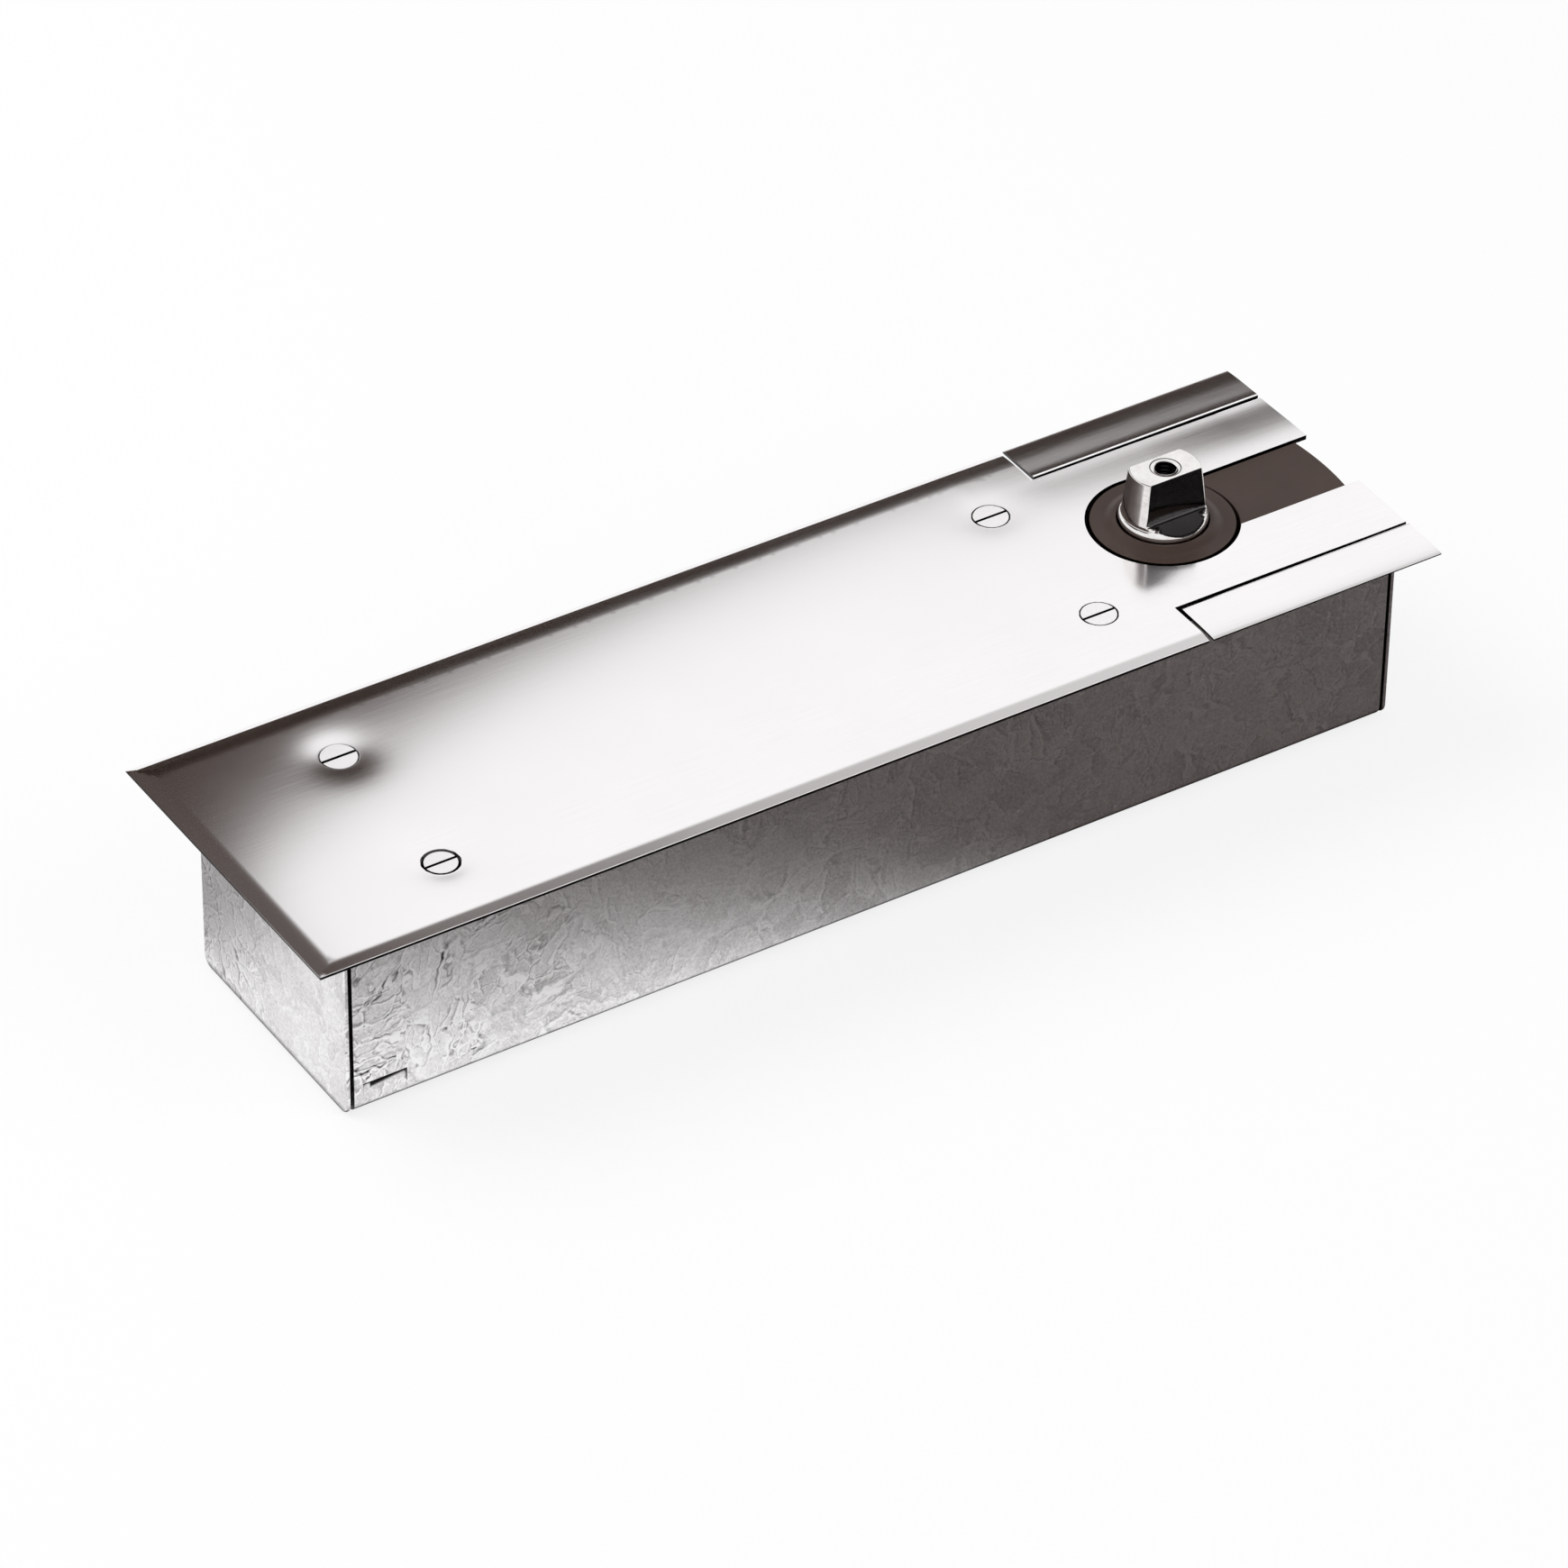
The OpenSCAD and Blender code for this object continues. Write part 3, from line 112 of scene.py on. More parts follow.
def fall(y, at, slope):
    """How far a surface has fallen at y, from its slope at given places."""
    fine = np.arange(at[0], at[-1], 0.05)
    steep = np.interp(fine, at, slope)
    fallen = np.concatenate([[0], np.cumsum((steep[1:] + steep[:-1]) / 2 * 0.05)])
    return np.interp(y, fine, fallen)


# Mesh building


class Shape:
    """Surfaces gathered into one mesh. Each keeps its own points, so its edges are sharp."""

    def __init__(self):
        self.points, self.faces, self.normals = [], [], []

    def add(self, points, faces, normals):
        start = len(self.points)
        self.points += [tuple(p) for p in points]
        self.normals += [tuple(n) for n in normals]
        self.faces += [tuple(start + i for i in f) for f in faces]

    def piece(self, name, slot_name):
        mesh = bpy.data.meshes.new(name)
        mesh.from_pydata([[c * MM for c in p] for p in self.points], [], self.faces)
        mesh.polygons.foreach_set("use_smooth", [True] * len(mesh.polygons))
        mesh.update()
        mesh.normals_split_custom_set_from_vertices(self.normals)
        mesh.materials.append(materials[slot_name])
        return placed(name, mesh)


def grid_surface(points, closed=False):
    """Faces of a grid of rows of points, and the normal of each point by differences."""
    points = np.asarray(points, float)
    rows, cols = points.shape[:2]
    if closed:
        across = np.roll(points, -1, 1) - np.roll(points, 1, 1)
    else:
        across = np.gradient(points, axis=1)
    along = np.gradient(points, axis=0)
    normals = np.cross(across, along)
    length = np.linalg.norm(normals, axis=2, keepdims=True)
    normals = np.where(length > 1e-12, normals / np.maximum(length, 1e-12), (0, 0, 1))
    last = cols if closed else cols - 1
    faces = []
    for r in range(rows - 1):
        for c in range(last):
            d = (c + 1) % cols
            faces.append((r * cols + c, r * cols + d, (r + 1) * cols + d, (r + 1) * cols + c))
    return points.reshape(-1, 3), faces, normals.reshape(-1, 3)


def turned(shape, profile, centre=(0, 0), segments=96):
    """Adds a surface turned about a vertical axis. The profile is (radius, z), smooth along it."""
    angles = np.linspace(0, 2 * math.pi, segments, endpoint=False)
    rows = [
        [(centre[0] + r * math.cos(a), centre[1] + r * math.sin(a), z) for a in angles]
        for r, z in profile
    ]
    shape.add(*grid_surface(rows, closed=True))


def steps(low, high, step):
    """Even numbers from low to high, about step apart."""
    return np.linspace(low, high, max(2, round(abs(high - low) / step) + 1))


def finished(obj, body, slot_name, *stands_for):
    """Lets a piece ride on a body and stand for CAD nodes, which it hides. slot_name is not used.
    """
    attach(obj, body)
    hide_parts(*stands_for)


# Materials


class Nodes:
    """A material's node tree with short ways to add to it."""

    def __init__(self, name, colour, metallic, roughness):
        self.material = bpy.data.materials.new(name)
        self.material.use_nodes = True
        self.tree = self.material.node_tree
        self.shader = self.tree.nodes["Principled BSDF"]
        self.shader.inputs["Base Color"].default_value = (*colour, 1)
        self.shader.inputs["Metallic"].default_value = metallic
        self.shader.inputs["Roughness"].default_value = roughness
        self.where = self.new("ShaderNodeTexCoord").outputs["Object"]

    def new(self, kind, sockets=None, **settings):
        """A new node. Each of its sockets gets a value or the output that it is linked to."""
        node = self.tree.nodes.new(kind)
        for name, value in settings.items():
            setattr(node, name, value)
        for name, value in (sockets or {}).items():
            if isinstance(value, bpy.types.NodeSocket):
                self.tree.links.new(value, node.inputs[name])
            else:
                node.inputs[name].default_value = value
        return node

    def stretched(self, scale, source=None, shift=(0, 0, 0)):
        """Coordinates, the object's own by default, times a scale for each axis."""
        source = self.where if source is None else source
        sockets = {"Vector": source, "Location": shift, "Scale": scale}
        return self.new("ShaderNodeMapping", sockets).outputs["Vector"]

    def noise(self, scale, detail=4.0, roughness=0.55):
        """Noise whose cells are about 1 / scale metres, a number or one for each axis."""
        if not isinstance(scale, tuple):
            scale = (scale, scale, scale)
        sockets = {
            "Vector": self.stretched(scale), "Scale": 1.0, "Detail": detail, "Roughness": roughness
        }
        return self.new("ShaderNodeTexNoise", sockets).outputs["Fac"]

    def ramp(self, value, *stops):
        """A colour ramp of (place, colour) stops."""
        node = self.new("ShaderNodeValToRGB", {"Fac": value})
        while len(node.color_ramp.elements) < len(stops):
            node.color_ramp.elements.new(0.5)
        for element, (place, colour) in zip(node.color_ramp.elements, stops):
            element.position = place
            element.color = (*colour, 1)
        return node.outputs["Color"]

    def spread(self, value, low, high):
        """Maps 0 to 1 onto low to high."""
        sockets = {"Value": value, "To Min": low, "To Max": high}
        return self.new("ShaderNodeMapRange", sockets).outputs["Result"]

    def span(self, value, start, end):
        """Goes softly from 0 to 1 as a value goes from start to end."""
        sockets = {"Value": value, "From Min": start, "From Max": end}
        node = self.new("ShaderNodeMapRange", sockets, interpolation_type="SMOOTHSTEP")
        return node.outputs["Result"]

    def sum(self, a, b, weight=0.5):
        """A mix of two values."""
        return self.new("ShaderNodeMix", {0: weight, 2: a, 3: b}, data_type="FLOAT").outputs[0]

    def times(self, colour, factor, low, high=1.0):
        """A colour times a factor that is first mapped onto low to high, kept within 0 and 1."""
        node = self.new(
            "ShaderNodeMix", {0: 1.0, 6: colour, 7: self.spread(factor, low, high)},
            data_type="RGBA", blend_type="MULTIPLY", clamp_result=True,
        )
        return node.outputs[2]

    def math(self, operation, a, b=0.5):
        return self.new("ShaderNodeMath", {0: a, 1: b}, operation=operation).outputs["Value"]

    def most(self, first, *others):
        """The largest of several values."""
        for other in others:
            first = self.math("MAXIMUM", first, other)
        return first

    def open_air(self, reach, shut, clear):
        """1 on open surfaces and 0 deep in gaps narrower than about reach metres. Multiplied into a
        colour, it paints shade into those gaps.
        """
        node = self.new("ShaderNodeAmbientOcclusion", {"Distance": reach}, samples=8)
        return self.span(node.outputs["AO"], shut, clear)

    def axis(self, vector, name):
        return self.new("ShaderNodeSeparateXYZ", {"Vector": vector}).outputs[name]

    def band(self, axis, start, end):
        """Goes from 0 to 1 as an object coordinate goes from start to end, in metres."""
        return self.span(self.axis(self.where, axis), start, end)

    def facing(self, axis):
        """How squarely the surface faces along an axis, either way: 0 to 1."""
        normal = self.new("ShaderNodeTexCoord").outputs["Normal"]
        return self.math("ABSOLUTE", self.axis(normal, axis))

    def from_axis(self, *used):
        """Distance from the spindle's axis, or from a plane through it."""
        sockets = {0: self.where, 1: used or (1, 1, 0)}
        flat = self.new("ShaderNodeVectorMath", sockets, operation="MULTIPLY").outputs["Vector"]
        return self.new("ShaderNodeVectorMath", {0: flat}, operation="LENGTH").outputs["Value"]

    def feed(self, socket, output):
        self.tree.links.new(output, self.shader.inputs[socket])

    def finish(self, colour, roughness, height, distance, strength):
        """The material, with a bump whose height from 0 to 1 stands for a distance in metres."""
        self.feed("Base Color", colour)
        self.feed("Roughness", roughness)
        sockets = {"Height": height, "Distance": distance, "Strength": strength}
        self.feed("Normal", self.new("ShaderNodeBump", sockets).outputs["Normal"])
        return self.material


def satin_steel():
    """Fine-ground stainless sheet with its grain along the plate, with painted shade on its
    upright edges and in its narrow gaps.
    """
    darkest, lightest = (0.93, 0.905, 0.91), (0.985, 0.965, 0.97)
    m = Nodes("satin_steel", darkest, 1.0, 0.15)
    grain = m.noise((50, 2200, 2200), 3.0)
    cloud = m.noise(22, 3.0)
    tone = m.ramp(m.sum(grain, cloud), (0.3, darkest), (0.7, lightest))
    # painted shade: faces that don't face up, such as the plate's rims and the walls of its cuts,
    # are darkened
    tone = m.times(tone, m.span(m.facing("Z"), 0.75, 0.88), 0.06)
    # painted shade in narrow gaps
    tone = m.times(tone, m.open_air(0.0012, 0.45, 0.7), 0.06)
    return m.finish(tone, m.spread(m.sum(grain, cloud, 0.35), 0.11, 0.19), grain, 0.000004, 0.5)


def screw_steel():
    """Turned stainless screw heads with painted shade in the slots and gaps."""
    m = Nodes("screw_steel", (0.9, 0.88, 0.88), 1.0, 0.16)
    mark = m.noise(900, 3.0)
    tone = m.ramp(mark, (0.3, (0.88, 0.86, 0.86)), (0.7, (0.95, 0.93, 0.93)))
    # painted shade: near black deep in the slot and in the gap round the head
    tone = m.times(tone, m.open_air(0.0014, 0.7, 0.95), 0.015)
    return m.finish(tone, m.spread(mark, 0.12, 0.22), mark, 0.000004, 0.5)


def dark_plastic():
    """Dark brown moulded plastic with a fine grain, and painted shade: black in the narrow gaps
    round it.
    """
    m = Nodes("dark_plastic", (0.05, 0.034, 0.03), 0.0, 0.4)
    grain = m.noise(2400, 3.0)
    cloud = m.noise(60, 2.0)
    tone = m.ramp(m.sum(grain, cloud), (0.3, (0.044, 0.028, 0.022)), (0.7, (0.06, 0.037, 0.03)))
    # painted shade: where clear is 0, on the disc's rounded rim and on the slot filler's sides, the
    # colour goes black and the specular sheen goes
    radius = m.from_axis()
    ring = m.most(m.span(radius, 0.0207, 0.0205), m.span(radius, 0.0214, 0.0216))
    sides = m.span(m.from_axis(0, 1, 0), 0.01225, 0.0121)
    clear = m.math("MULTIPLY", ring, m.most(m.span(radius, 0.0217, 0.0215), sides))
    m.feed("Specular IOR Level", m.spread(clear, 0.0, 0.32))
    return m.finish(m.times(tone, clear, 0.02), m.spread(grain, 0.34, 0.48), grain, 0.00001, 0.6)


def outside_tab_slit(m):
    """0 deep under the lip over the lanced tab, where no light comes, and 1 elsewhere."""
    left, front, top = (box_low[0] + 5) * MM, box_low[1] * MM, (box_low[2] + 9.3) * MM
    lean = 0.02
    sockets = {0: m.where, 1: (-lean, 1, 0)}
    depth = m.new("ShaderNodeVectorMath", sockets, operation="DOT_PRODUCT").outputs["Value"]
    start = front - lean * left
    return m.most(
        m.span(depth, start + 0.0006, start + 0.0004),
        m.band("Y", front + 0.0012, front + 0.0014),
        m.band("X", left + 0.0004, left),
        m.band("Z", top - 0.004, top - 0.0045),
    )


def galvanised():
    """Hot-dipped zinc: regions of long flakes, each region lying its own way, over fine grit, with
    painted light and shade along the flake edges and painted shade in narrow gaps.
    """
    m = Nodes("galvanised", (0.8, 0.79, 0.79), 0.96, 0.34)

    def warped(source, scale, reach, detail=5.0):
        sockets = {"Vector": source, "Scale": scale, "Detail": detail, "Roughness": 0.62}
        warp = m.new("ShaderNodeTexNoise", sockets).outputs["Color"]
        sockets = {0: warp, 1: (reach, reach, reach), 2: source}
        return m.new("ShaderNodeVectorMath", sockets, operation="MULTIPLY_ADD").outputs["Vector"]

    def random_cells(source, scale):
        """Random numbers, the same all over each cell."""
        cells = m.new("ShaderNodeTexVoronoi", {"Vector": source, "Scale": scale})
        return m.new("ShaderNodeSeparateColor", {"Color": cells.outputs["Color"]}).outputs

    region = random_cells(warped(m.where, 70.0, 0.02), 55.0)
    sockets = {
        "Vector": m.where, "Axis": (0.3, 1.0, 0.2), "Angle": m.spread(region["Red"], 0.0, 6.3)
    }
    turn = m.new("ShaderNodeVectorRotate", sockets, rotation_type="AXIS_ANGLE").outputs["Vector"]
    flakes_at = m.stretched((48, 140, 140), warped(turn, 150.0, 0.0045, 2.0))
    flake = random_cells(flakes_at, 1.0)
    grit = m.noise(1300, 4.0, 0.75)
    cloud = m.noise(30, 4.0)

    def creases(scale, width):
        """Painted highlight and painted shade on the two sides of the edges between flakes, and 0.5
        between them.
        """
        sides = []
        for shift in (0.0, width):
            moved = m.stretched(scale, flakes_at, (0.3 * shift, shift, shift))
            edge = m.new(
                "ShaderNodeTexVoronoi", {"Vector": moved, "Scale": 1.0}, feature="DISTANCE_TO_EDGE"
            )
            sides.append(m.span(edge.outputs["Distance"], 0.0, 0.09))
        sockets = {"Value": m.math("SUBTRACT", *sides), "From Min": -1}
        return m.new("ShaderNodeMapRange", sockets).outputs["Result"]

    folds = m.sum(creases((1, 1, 1), 0.08), creases((2.3, 2.6, 2.1), 0.12), 0.45)
    crumpled = m.spread(m.band("X", -0.265, -0.2), 1.0, 0.2)
    far_end = m.spread(m.band("Y", -0.006, 0.022), 0.0, 0.6)
    strength = m.math("MULTIPLY", crumpled, m.most(far_end, m.band("Y", -0.0385, -0.0389)))
    patches = m.spread(m.span(m.noise(70, 2.0), 0.38, 0.55), 0.25, 1.0)
    relief = m.sum(0.5, folds, m.math("MULTIPLY", m.spread(strength, 0.12, 1.0), patches))
    tone = m.sum(m.sum(flake["Red"], grit, 0.7), m.sum(region["Green"], cloud, 0.75), 0.4)
    shade = m.ramp(
        tone, (0.3, (0.66, 0.645, 0.645)), (0.5, (0.86, 0.845, 0.85)), (0.7, (0.97, 0.965, 0.97))
    )
    # painted light: relief multiplies the colour, lighter on one side of each flake edge and darker
    # on the other
    shade = m.times(m.times(shade, grit, 0.6, 1.32), relief, -0.1, 2.1)
    # painted shade under the lip over the lanced tab and in narrow gaps
    shade = m.times(m.times(shade, outside_tab_slit(m), 0.02), m.open_air(0.004, 0.6, 0.88), 0.02)
    height = m.sum(m.sum(flake["Blue"], grit, 0.6), relief, 0.4)
    return m.finish(shade, m.spread(tone, 0.42, 0.26), height, 0.0003, 0.6)


def machined(name, colour, low, high, scale=(300, 300, 2600)):
    """Turned or ground steel with fine marks."""
    m = Nodes(name, colour, 1.0, (low + high) / 2)
    mark = m.noise(scale, 3.0)
    dark = tuple(0.86 * c for c in colour)
    light = tuple(min(1, 1.06 * c) for c in colour)
    tone = m.ramp(m.sum(mark, m.noise(90, 3.0), 0.4), (0.3, dark), (0.7, light))
    return m.finish(tone, m.spread(mark, low, high), mark, 0.00001, 0.4)


def spindle_steel():
    """Ground spindle steel with painted shade: dark on its flats, darker over the run-out below
    them, black inside its threaded hole and dark in narrow gaps.
    """
    m = Nodes("spindle_steel", (0.88, 0.86, 0.85), 1.0, 0.12)
    mark = m.noise((260, 260, 1500), 3.0)
    cloud = m.noise(120, 4.0, 0.7)
    tone = m.ramp(m.sum(mark, cloud, 0.6), (0.32, (0.74, 0.72, 0.71)), (0.6, (0.92, 0.9, 0.89)))
    top = spindle_high[2] * MM
    # painted shade: black inside the threaded hole
    outside = m.most(m.span(m.from_axis(), 0.0041, 0.0042), m.band("Z", top - 0.0006, top - 0.0004))
    round_part = m.most(
        m.span(m.facing("X"), 0.1, 0.2), m.span(m.facing("Y"), 0.33, 0.25),
        m.band("Z", 0.0025, 0.0024),
    )
    over_run_out = m.most(round_part, m.band("Z", 0.0049, 0.0054))
    # painted shade: the flats at 0.17 of the turned faces' tone, and the run-out below them darker
    # still
    tone = m.times(m.times(tone, outside, 0.01), round_part, 0.17)
    tone = m.times(m.times(tone, over_run_out, 0.45), m.open_air(0.004, 0.3, 0.62), 0.02)
    return m.finish(tone, m.spread(mark, 0.07, 0.14), mark, 0.000005, 0.4)


def cast_iron():
    """Sand-cast iron under thin paint."""
    m = Nodes("cast_iron", (0.16, 0.165, 0.17), 0.55, 0.55)
    grit = m.noise(420, 5.0)
    tone = m.ramp(
        m.sum(grit, m.noise(40, 3.0)), (0.3, (0.11, 0.115, 0.12)), (0.7, (0.2, 0.205, 0.21))
    )
    return m.finish(tone, m.spread(grit, 0.45, 0.7), grit, 0.00012, 0.6)


def rubber():
    """Black sealing rubber and gasket paper."""
    m = Nodes("rubber", (0.02, 0.02, 0.02), 0.0, 0.6)
    grain = m.noise(1500, 3.0)
    tone = m.ramp(grain, (0.3, (0.016, 0.016, 0.017)), (0.7, (0.03, 0.03, 0.032)))
    return m.finish(tone, m.spread(grain, 0.5, 0.75), grain, 0.00001, 0.5)


materials = {
    "galvanised_sheet": galvanised(),
    "stainless": satin_steel(),
    "cover_screw_steel": screw_steel(),
    "dark_plastic": dark_plastic(),
    "cast_iron": cast_iron(),
    "gasket": rubber(),
    "zinc_hardware": machined("zinc_hardware", (0.66, 0.67, 0.69), 0.22, 0.42, 700),
    "spindle_steel": spindle_steel(),
    "machine_steel": machined("machine_steel", (0.56, 0.56, 0.57), 0.16, 0.34),
    "brass": machined("brass", (0.72, 0.52, 0.24), 0.16, 0.34, 600),
    "spring_steel": machined("spring_steel", (0.3, 0.31, 0.33), 0.25, 0.42, 500),
}


# Cover plate


def soft_ramp(u, soft):
    """0 for u far below 0 and u far above it, with a parabola from -soft to soft."""
    return np.where(u <= -soft, 0, np.where(u >= soft, u, (u + soft) ** 2 / (4 * soft)))


def distance_to_edge(x, y, edge):
    """Distance of points from a straight edge (x0, y0, x1, y1)."""
    x0, y0, x1, y1 = edge
    length2 = (x1 - x0) ** 2 + (y1 - y0) ** 2
    t = np.clip(((x - x0) * (x1 - x0) + (y - y0) * (y1 - y0)) / length2, 0, 1)
    return np.hypot(x - x0 - t * (x1 - x0), y - y0 - t * (y1 - y0))


# Straight edges of the plate with the width, fall and softness of the bend beside each
BEVEL = (3.6, 0.68, 1.0)
LEFT_BEVEL = (3.9, 0.72, 2.2)
FAR_BEVEL = (6.4, 0.62, 2.6)
FAR_LIP = (2.0, 0.6, 0.5)
plate_edges = [((PLATE_LEFT, -PLATE_HALF_W, PLATE_LEFT, PLATE_HALF_W), LEFT_BEVEL)]
sharp_edges = [
    (PLATE_RIGHT, -NOTCH_Y, PLATE_RIGHT, -SLOT_Y), (PLATE_RIGHT, SLOT_Y, PLATE_RIGHT, NOTCH_Y)
]
for side, bevel in ((-1, BEVEL), (1, FAR_BEVEL)):
    plate_edges.append(((PLATE_LEFT, side * PLATE_HALF_W, NOTCH_X, side * PLATE_HALF_W), bevel))
    sharp_edges += [
        (NOTCH_X, side * NOTCH_Y, PLATE_RIGHT, side * NOTCH_Y),
        (NOTCH_X, side * NOTCH_Y, NOTCH_X, side * PLATE_HALF_W),
        (DISC_HOLE_R, side * SLOT_Y, PLATE_RIGHT, side * SLOT_Y),
    ]


def plate_height(x, y):
    """Height of the plate's top over any point, in millimetres."""
    z = np.zeros(np.shape(x))
    for edge, (width, drop, soft) in plate_edges:
        z = np.minimum(z, -drop / width * soft_ramp(width - distance_to_edge(x, y, edge), soft))
    lip = FAR_LIP[1] / FAR_LIP[0] * soft_ramp(FAR_LIP[0] - (PLATE_HALF_W - y), FAR_LIP[2])
    z = z - lip
    grown = np.interp(x, (-40, -15, 15, 45), (0, 0.015, 0.022, 0.04))
    z = z - grown * fall(np.abs(y), LEG_Y, LEG_SLOPE)
    z = z + 0.17 * np.clip((30 - np.hypot(x, y)) / 8, 0, 1) ** 2 * np.clip((-y - 8) / 12, 0, 1)
    for sx, sy in SCREWS:
        out = np.maximum(np.hypot(x - sx, y - sy) - SCREW_HOLE_R, 0)
        z = z - DISH_DEPTH[sx] * np.exp(-((out / DISH_W) ** 1.25))
    return z


def plate_normals(x, y):
    """Normals of the plate's top, by differences."""
    h = 0.03
    dx = (plate_height(x + h, y) - plate_height(x - h, y)) / (2 * h)
    dy = (plate_height(x, y + h) - plate_height(x, y - h)) / (2 * h)
    n = np.stack([-dx, -dy, np.ones_like(dx)], -1)
    return n / np.linalg.norm(n, axis=-1, keepdims=True)


def plate_loop():
    """Outline of the plate, anticlockwise, with the spindle hole and its slot."""
    mouth = math.asin(SLOT_Y / DISC_HOLE_R)
    mouth_x = DISC_HOLE_R * math.cos(mouth)
    corners = [
        (mouth_x, -SLOT_Y), (PLATE_RIGHT, -SLOT_Y), (PLATE_RIGHT, -NOTCH_Y),
        (NOTCH_X, -NOTCH_Y), (NOTCH_X, -PLATE_HALF_W), (PLATE_LEFT, -PLATE_HALF_W),
        (PLATE_LEFT, PLATE_HALF_W), (NOTCH_X, PLATE_HALF_W), (NOTCH_X, NOTCH_Y),
        (PLATE_RIGHT, NOTCH_Y), (PLATE_RIGHT, SLOT_Y), (mouth_x, SLOT_Y),
    ]
    loop = []
    for a, b in zip(corners, corners[1:]):
        count = max(1, round(math.dist(a, b) / (0.7 if math.dist(a, b) < 20 else 2.5)))
        loop += [
            (a[0] + (b[0] - a[0]) * i / count, a[1] + (b[1] - a[1]) * i / count)
            for i in range(count)
        ]
    for angle in np.linspace(mouth, 2 * math.pi - mouth, 97)[:-1]:
        loop.append((DISC_HOLE_R * math.cos(angle), DISC_HOLE_R * math.sin(angle)))
    return loop[::-1]


def circle(cx, cy, radius, count):
    angles = [2 * math.pi * i / count for i in range(count)]
    return [(cx + radius * math.cos(a), cy + radius * math.sin(a)) for a in angles]


def edge_distance(x, y):
    """Distance from the nearest edge of the plate or its spindle hole."""
    d = np.abs(np.hypot(x, y) - DISC_HOLE_R)
    for edge in [e for e, _ in plate_edges] + sharp_edges:
        d = np.minimum(d, distance_to_edge(x, y, edge))
    return d


def plate_points():
    """Points inside the plate: rows along the bent edges, rings round the screws and a grid."""
    near = []
    for (x0, y0, x1, y1), (width, _, soft) in plate_edges:
        length = math.hypot(x1 - x0, y1 - y0)
        along = steps(0, length, 2.5) / length
        for offset in steps(0.35, width + soft, 0.45 if width < 4 else 0.7):
            for side in (-1, 1):
                nx, ny = side * (y0 - y1) / length * offset, side * (x1 - x0) / length * offset
                near += [(x0 + t * (x1 - x0) + nx, y0 + t * (y1 - y0) + ny, offset) for t in along]
    points = [
        (x, y) for x, y, offset in near
        if min(distance_to_edge(x, y, edge) for edge, _ in plate_edges) > offset - 1e-6
        and edge_distance(x, y) > 0.33
    ]
    for x in steps(PLATE_LEFT, PLATE_RIGHT, 4):
        for y in steps(-PLATE_HALF_W, PLATE_HALF_W, 2):
            if edge_distance(x, y) > (1 if x > NOTCH_X and abs(y) < NOTCH_Y else 8):
                points.append((x, y))
    for sx, sy in SCREWS:
        points = [p for p in points if math.hypot(p[0] - sx, p[1] - sy) > 18]
        for ring in (6.0, 6.6, 7.4, 8.4, 9.6, 11, 12.6, 14.5, 16.8):
            points += circle(sx, sy, ring, 48)
    kept = {}
    for x, y in points:
        inside = PLATE_LEFT < x < PLATE_RIGHT and abs(y) < PLATE_HALF_W
        cut = (x > NOTCH_X and abs(y) > NOTCH_Y) or math.hypot(x, y) < DISC_HOLE_R
        cut = cut or (x > 0 and abs(y) < SLOT_Y)
        if inside and not cut and edge_distance(x, y) > 0.2:
            kept.setdefault((round(x / 0.4), round(y / 0.4)), (x, y))
    return list(kept.values())


def wall(shape, loop, z_top, z_low):
    """Adds the upright side along a closed outline. Sharp corners stay sharp."""
    n = len(loop)
    flat = []
    for i in range(n):
        (x0, y0), (x1, y1) = loop[i], loop[(i + 1) % n]
        length = math.hypot(x1 - x0, y1 - y0)
        flat.append(((y1 - y0) / length, (x0 - x1) / length))
    for i in range(n):
        ends = []
        for k, other in ((i, i - 1), ((i + 1) % n, (i + 1) % n)):
            own, beside = Vector(flat[i]), Vector(flat[other])
            ends.append((own + beside).normalized() if own.dot(beside) > 0.9 else own)
        j = (i + 1) % n
        quad = [
            (*loop[i], z_low), (*loop[j], z_low), (*loop[j], z_top[j]), (*loop[i], z_top[i])
        ]
        a, b = (ends[0].x, ends[0].y, 0), (ends[1].x, ends[1].y, 0)
        shape.add(quad, [(0, 1, 2, 3)], [a, b, b, a])


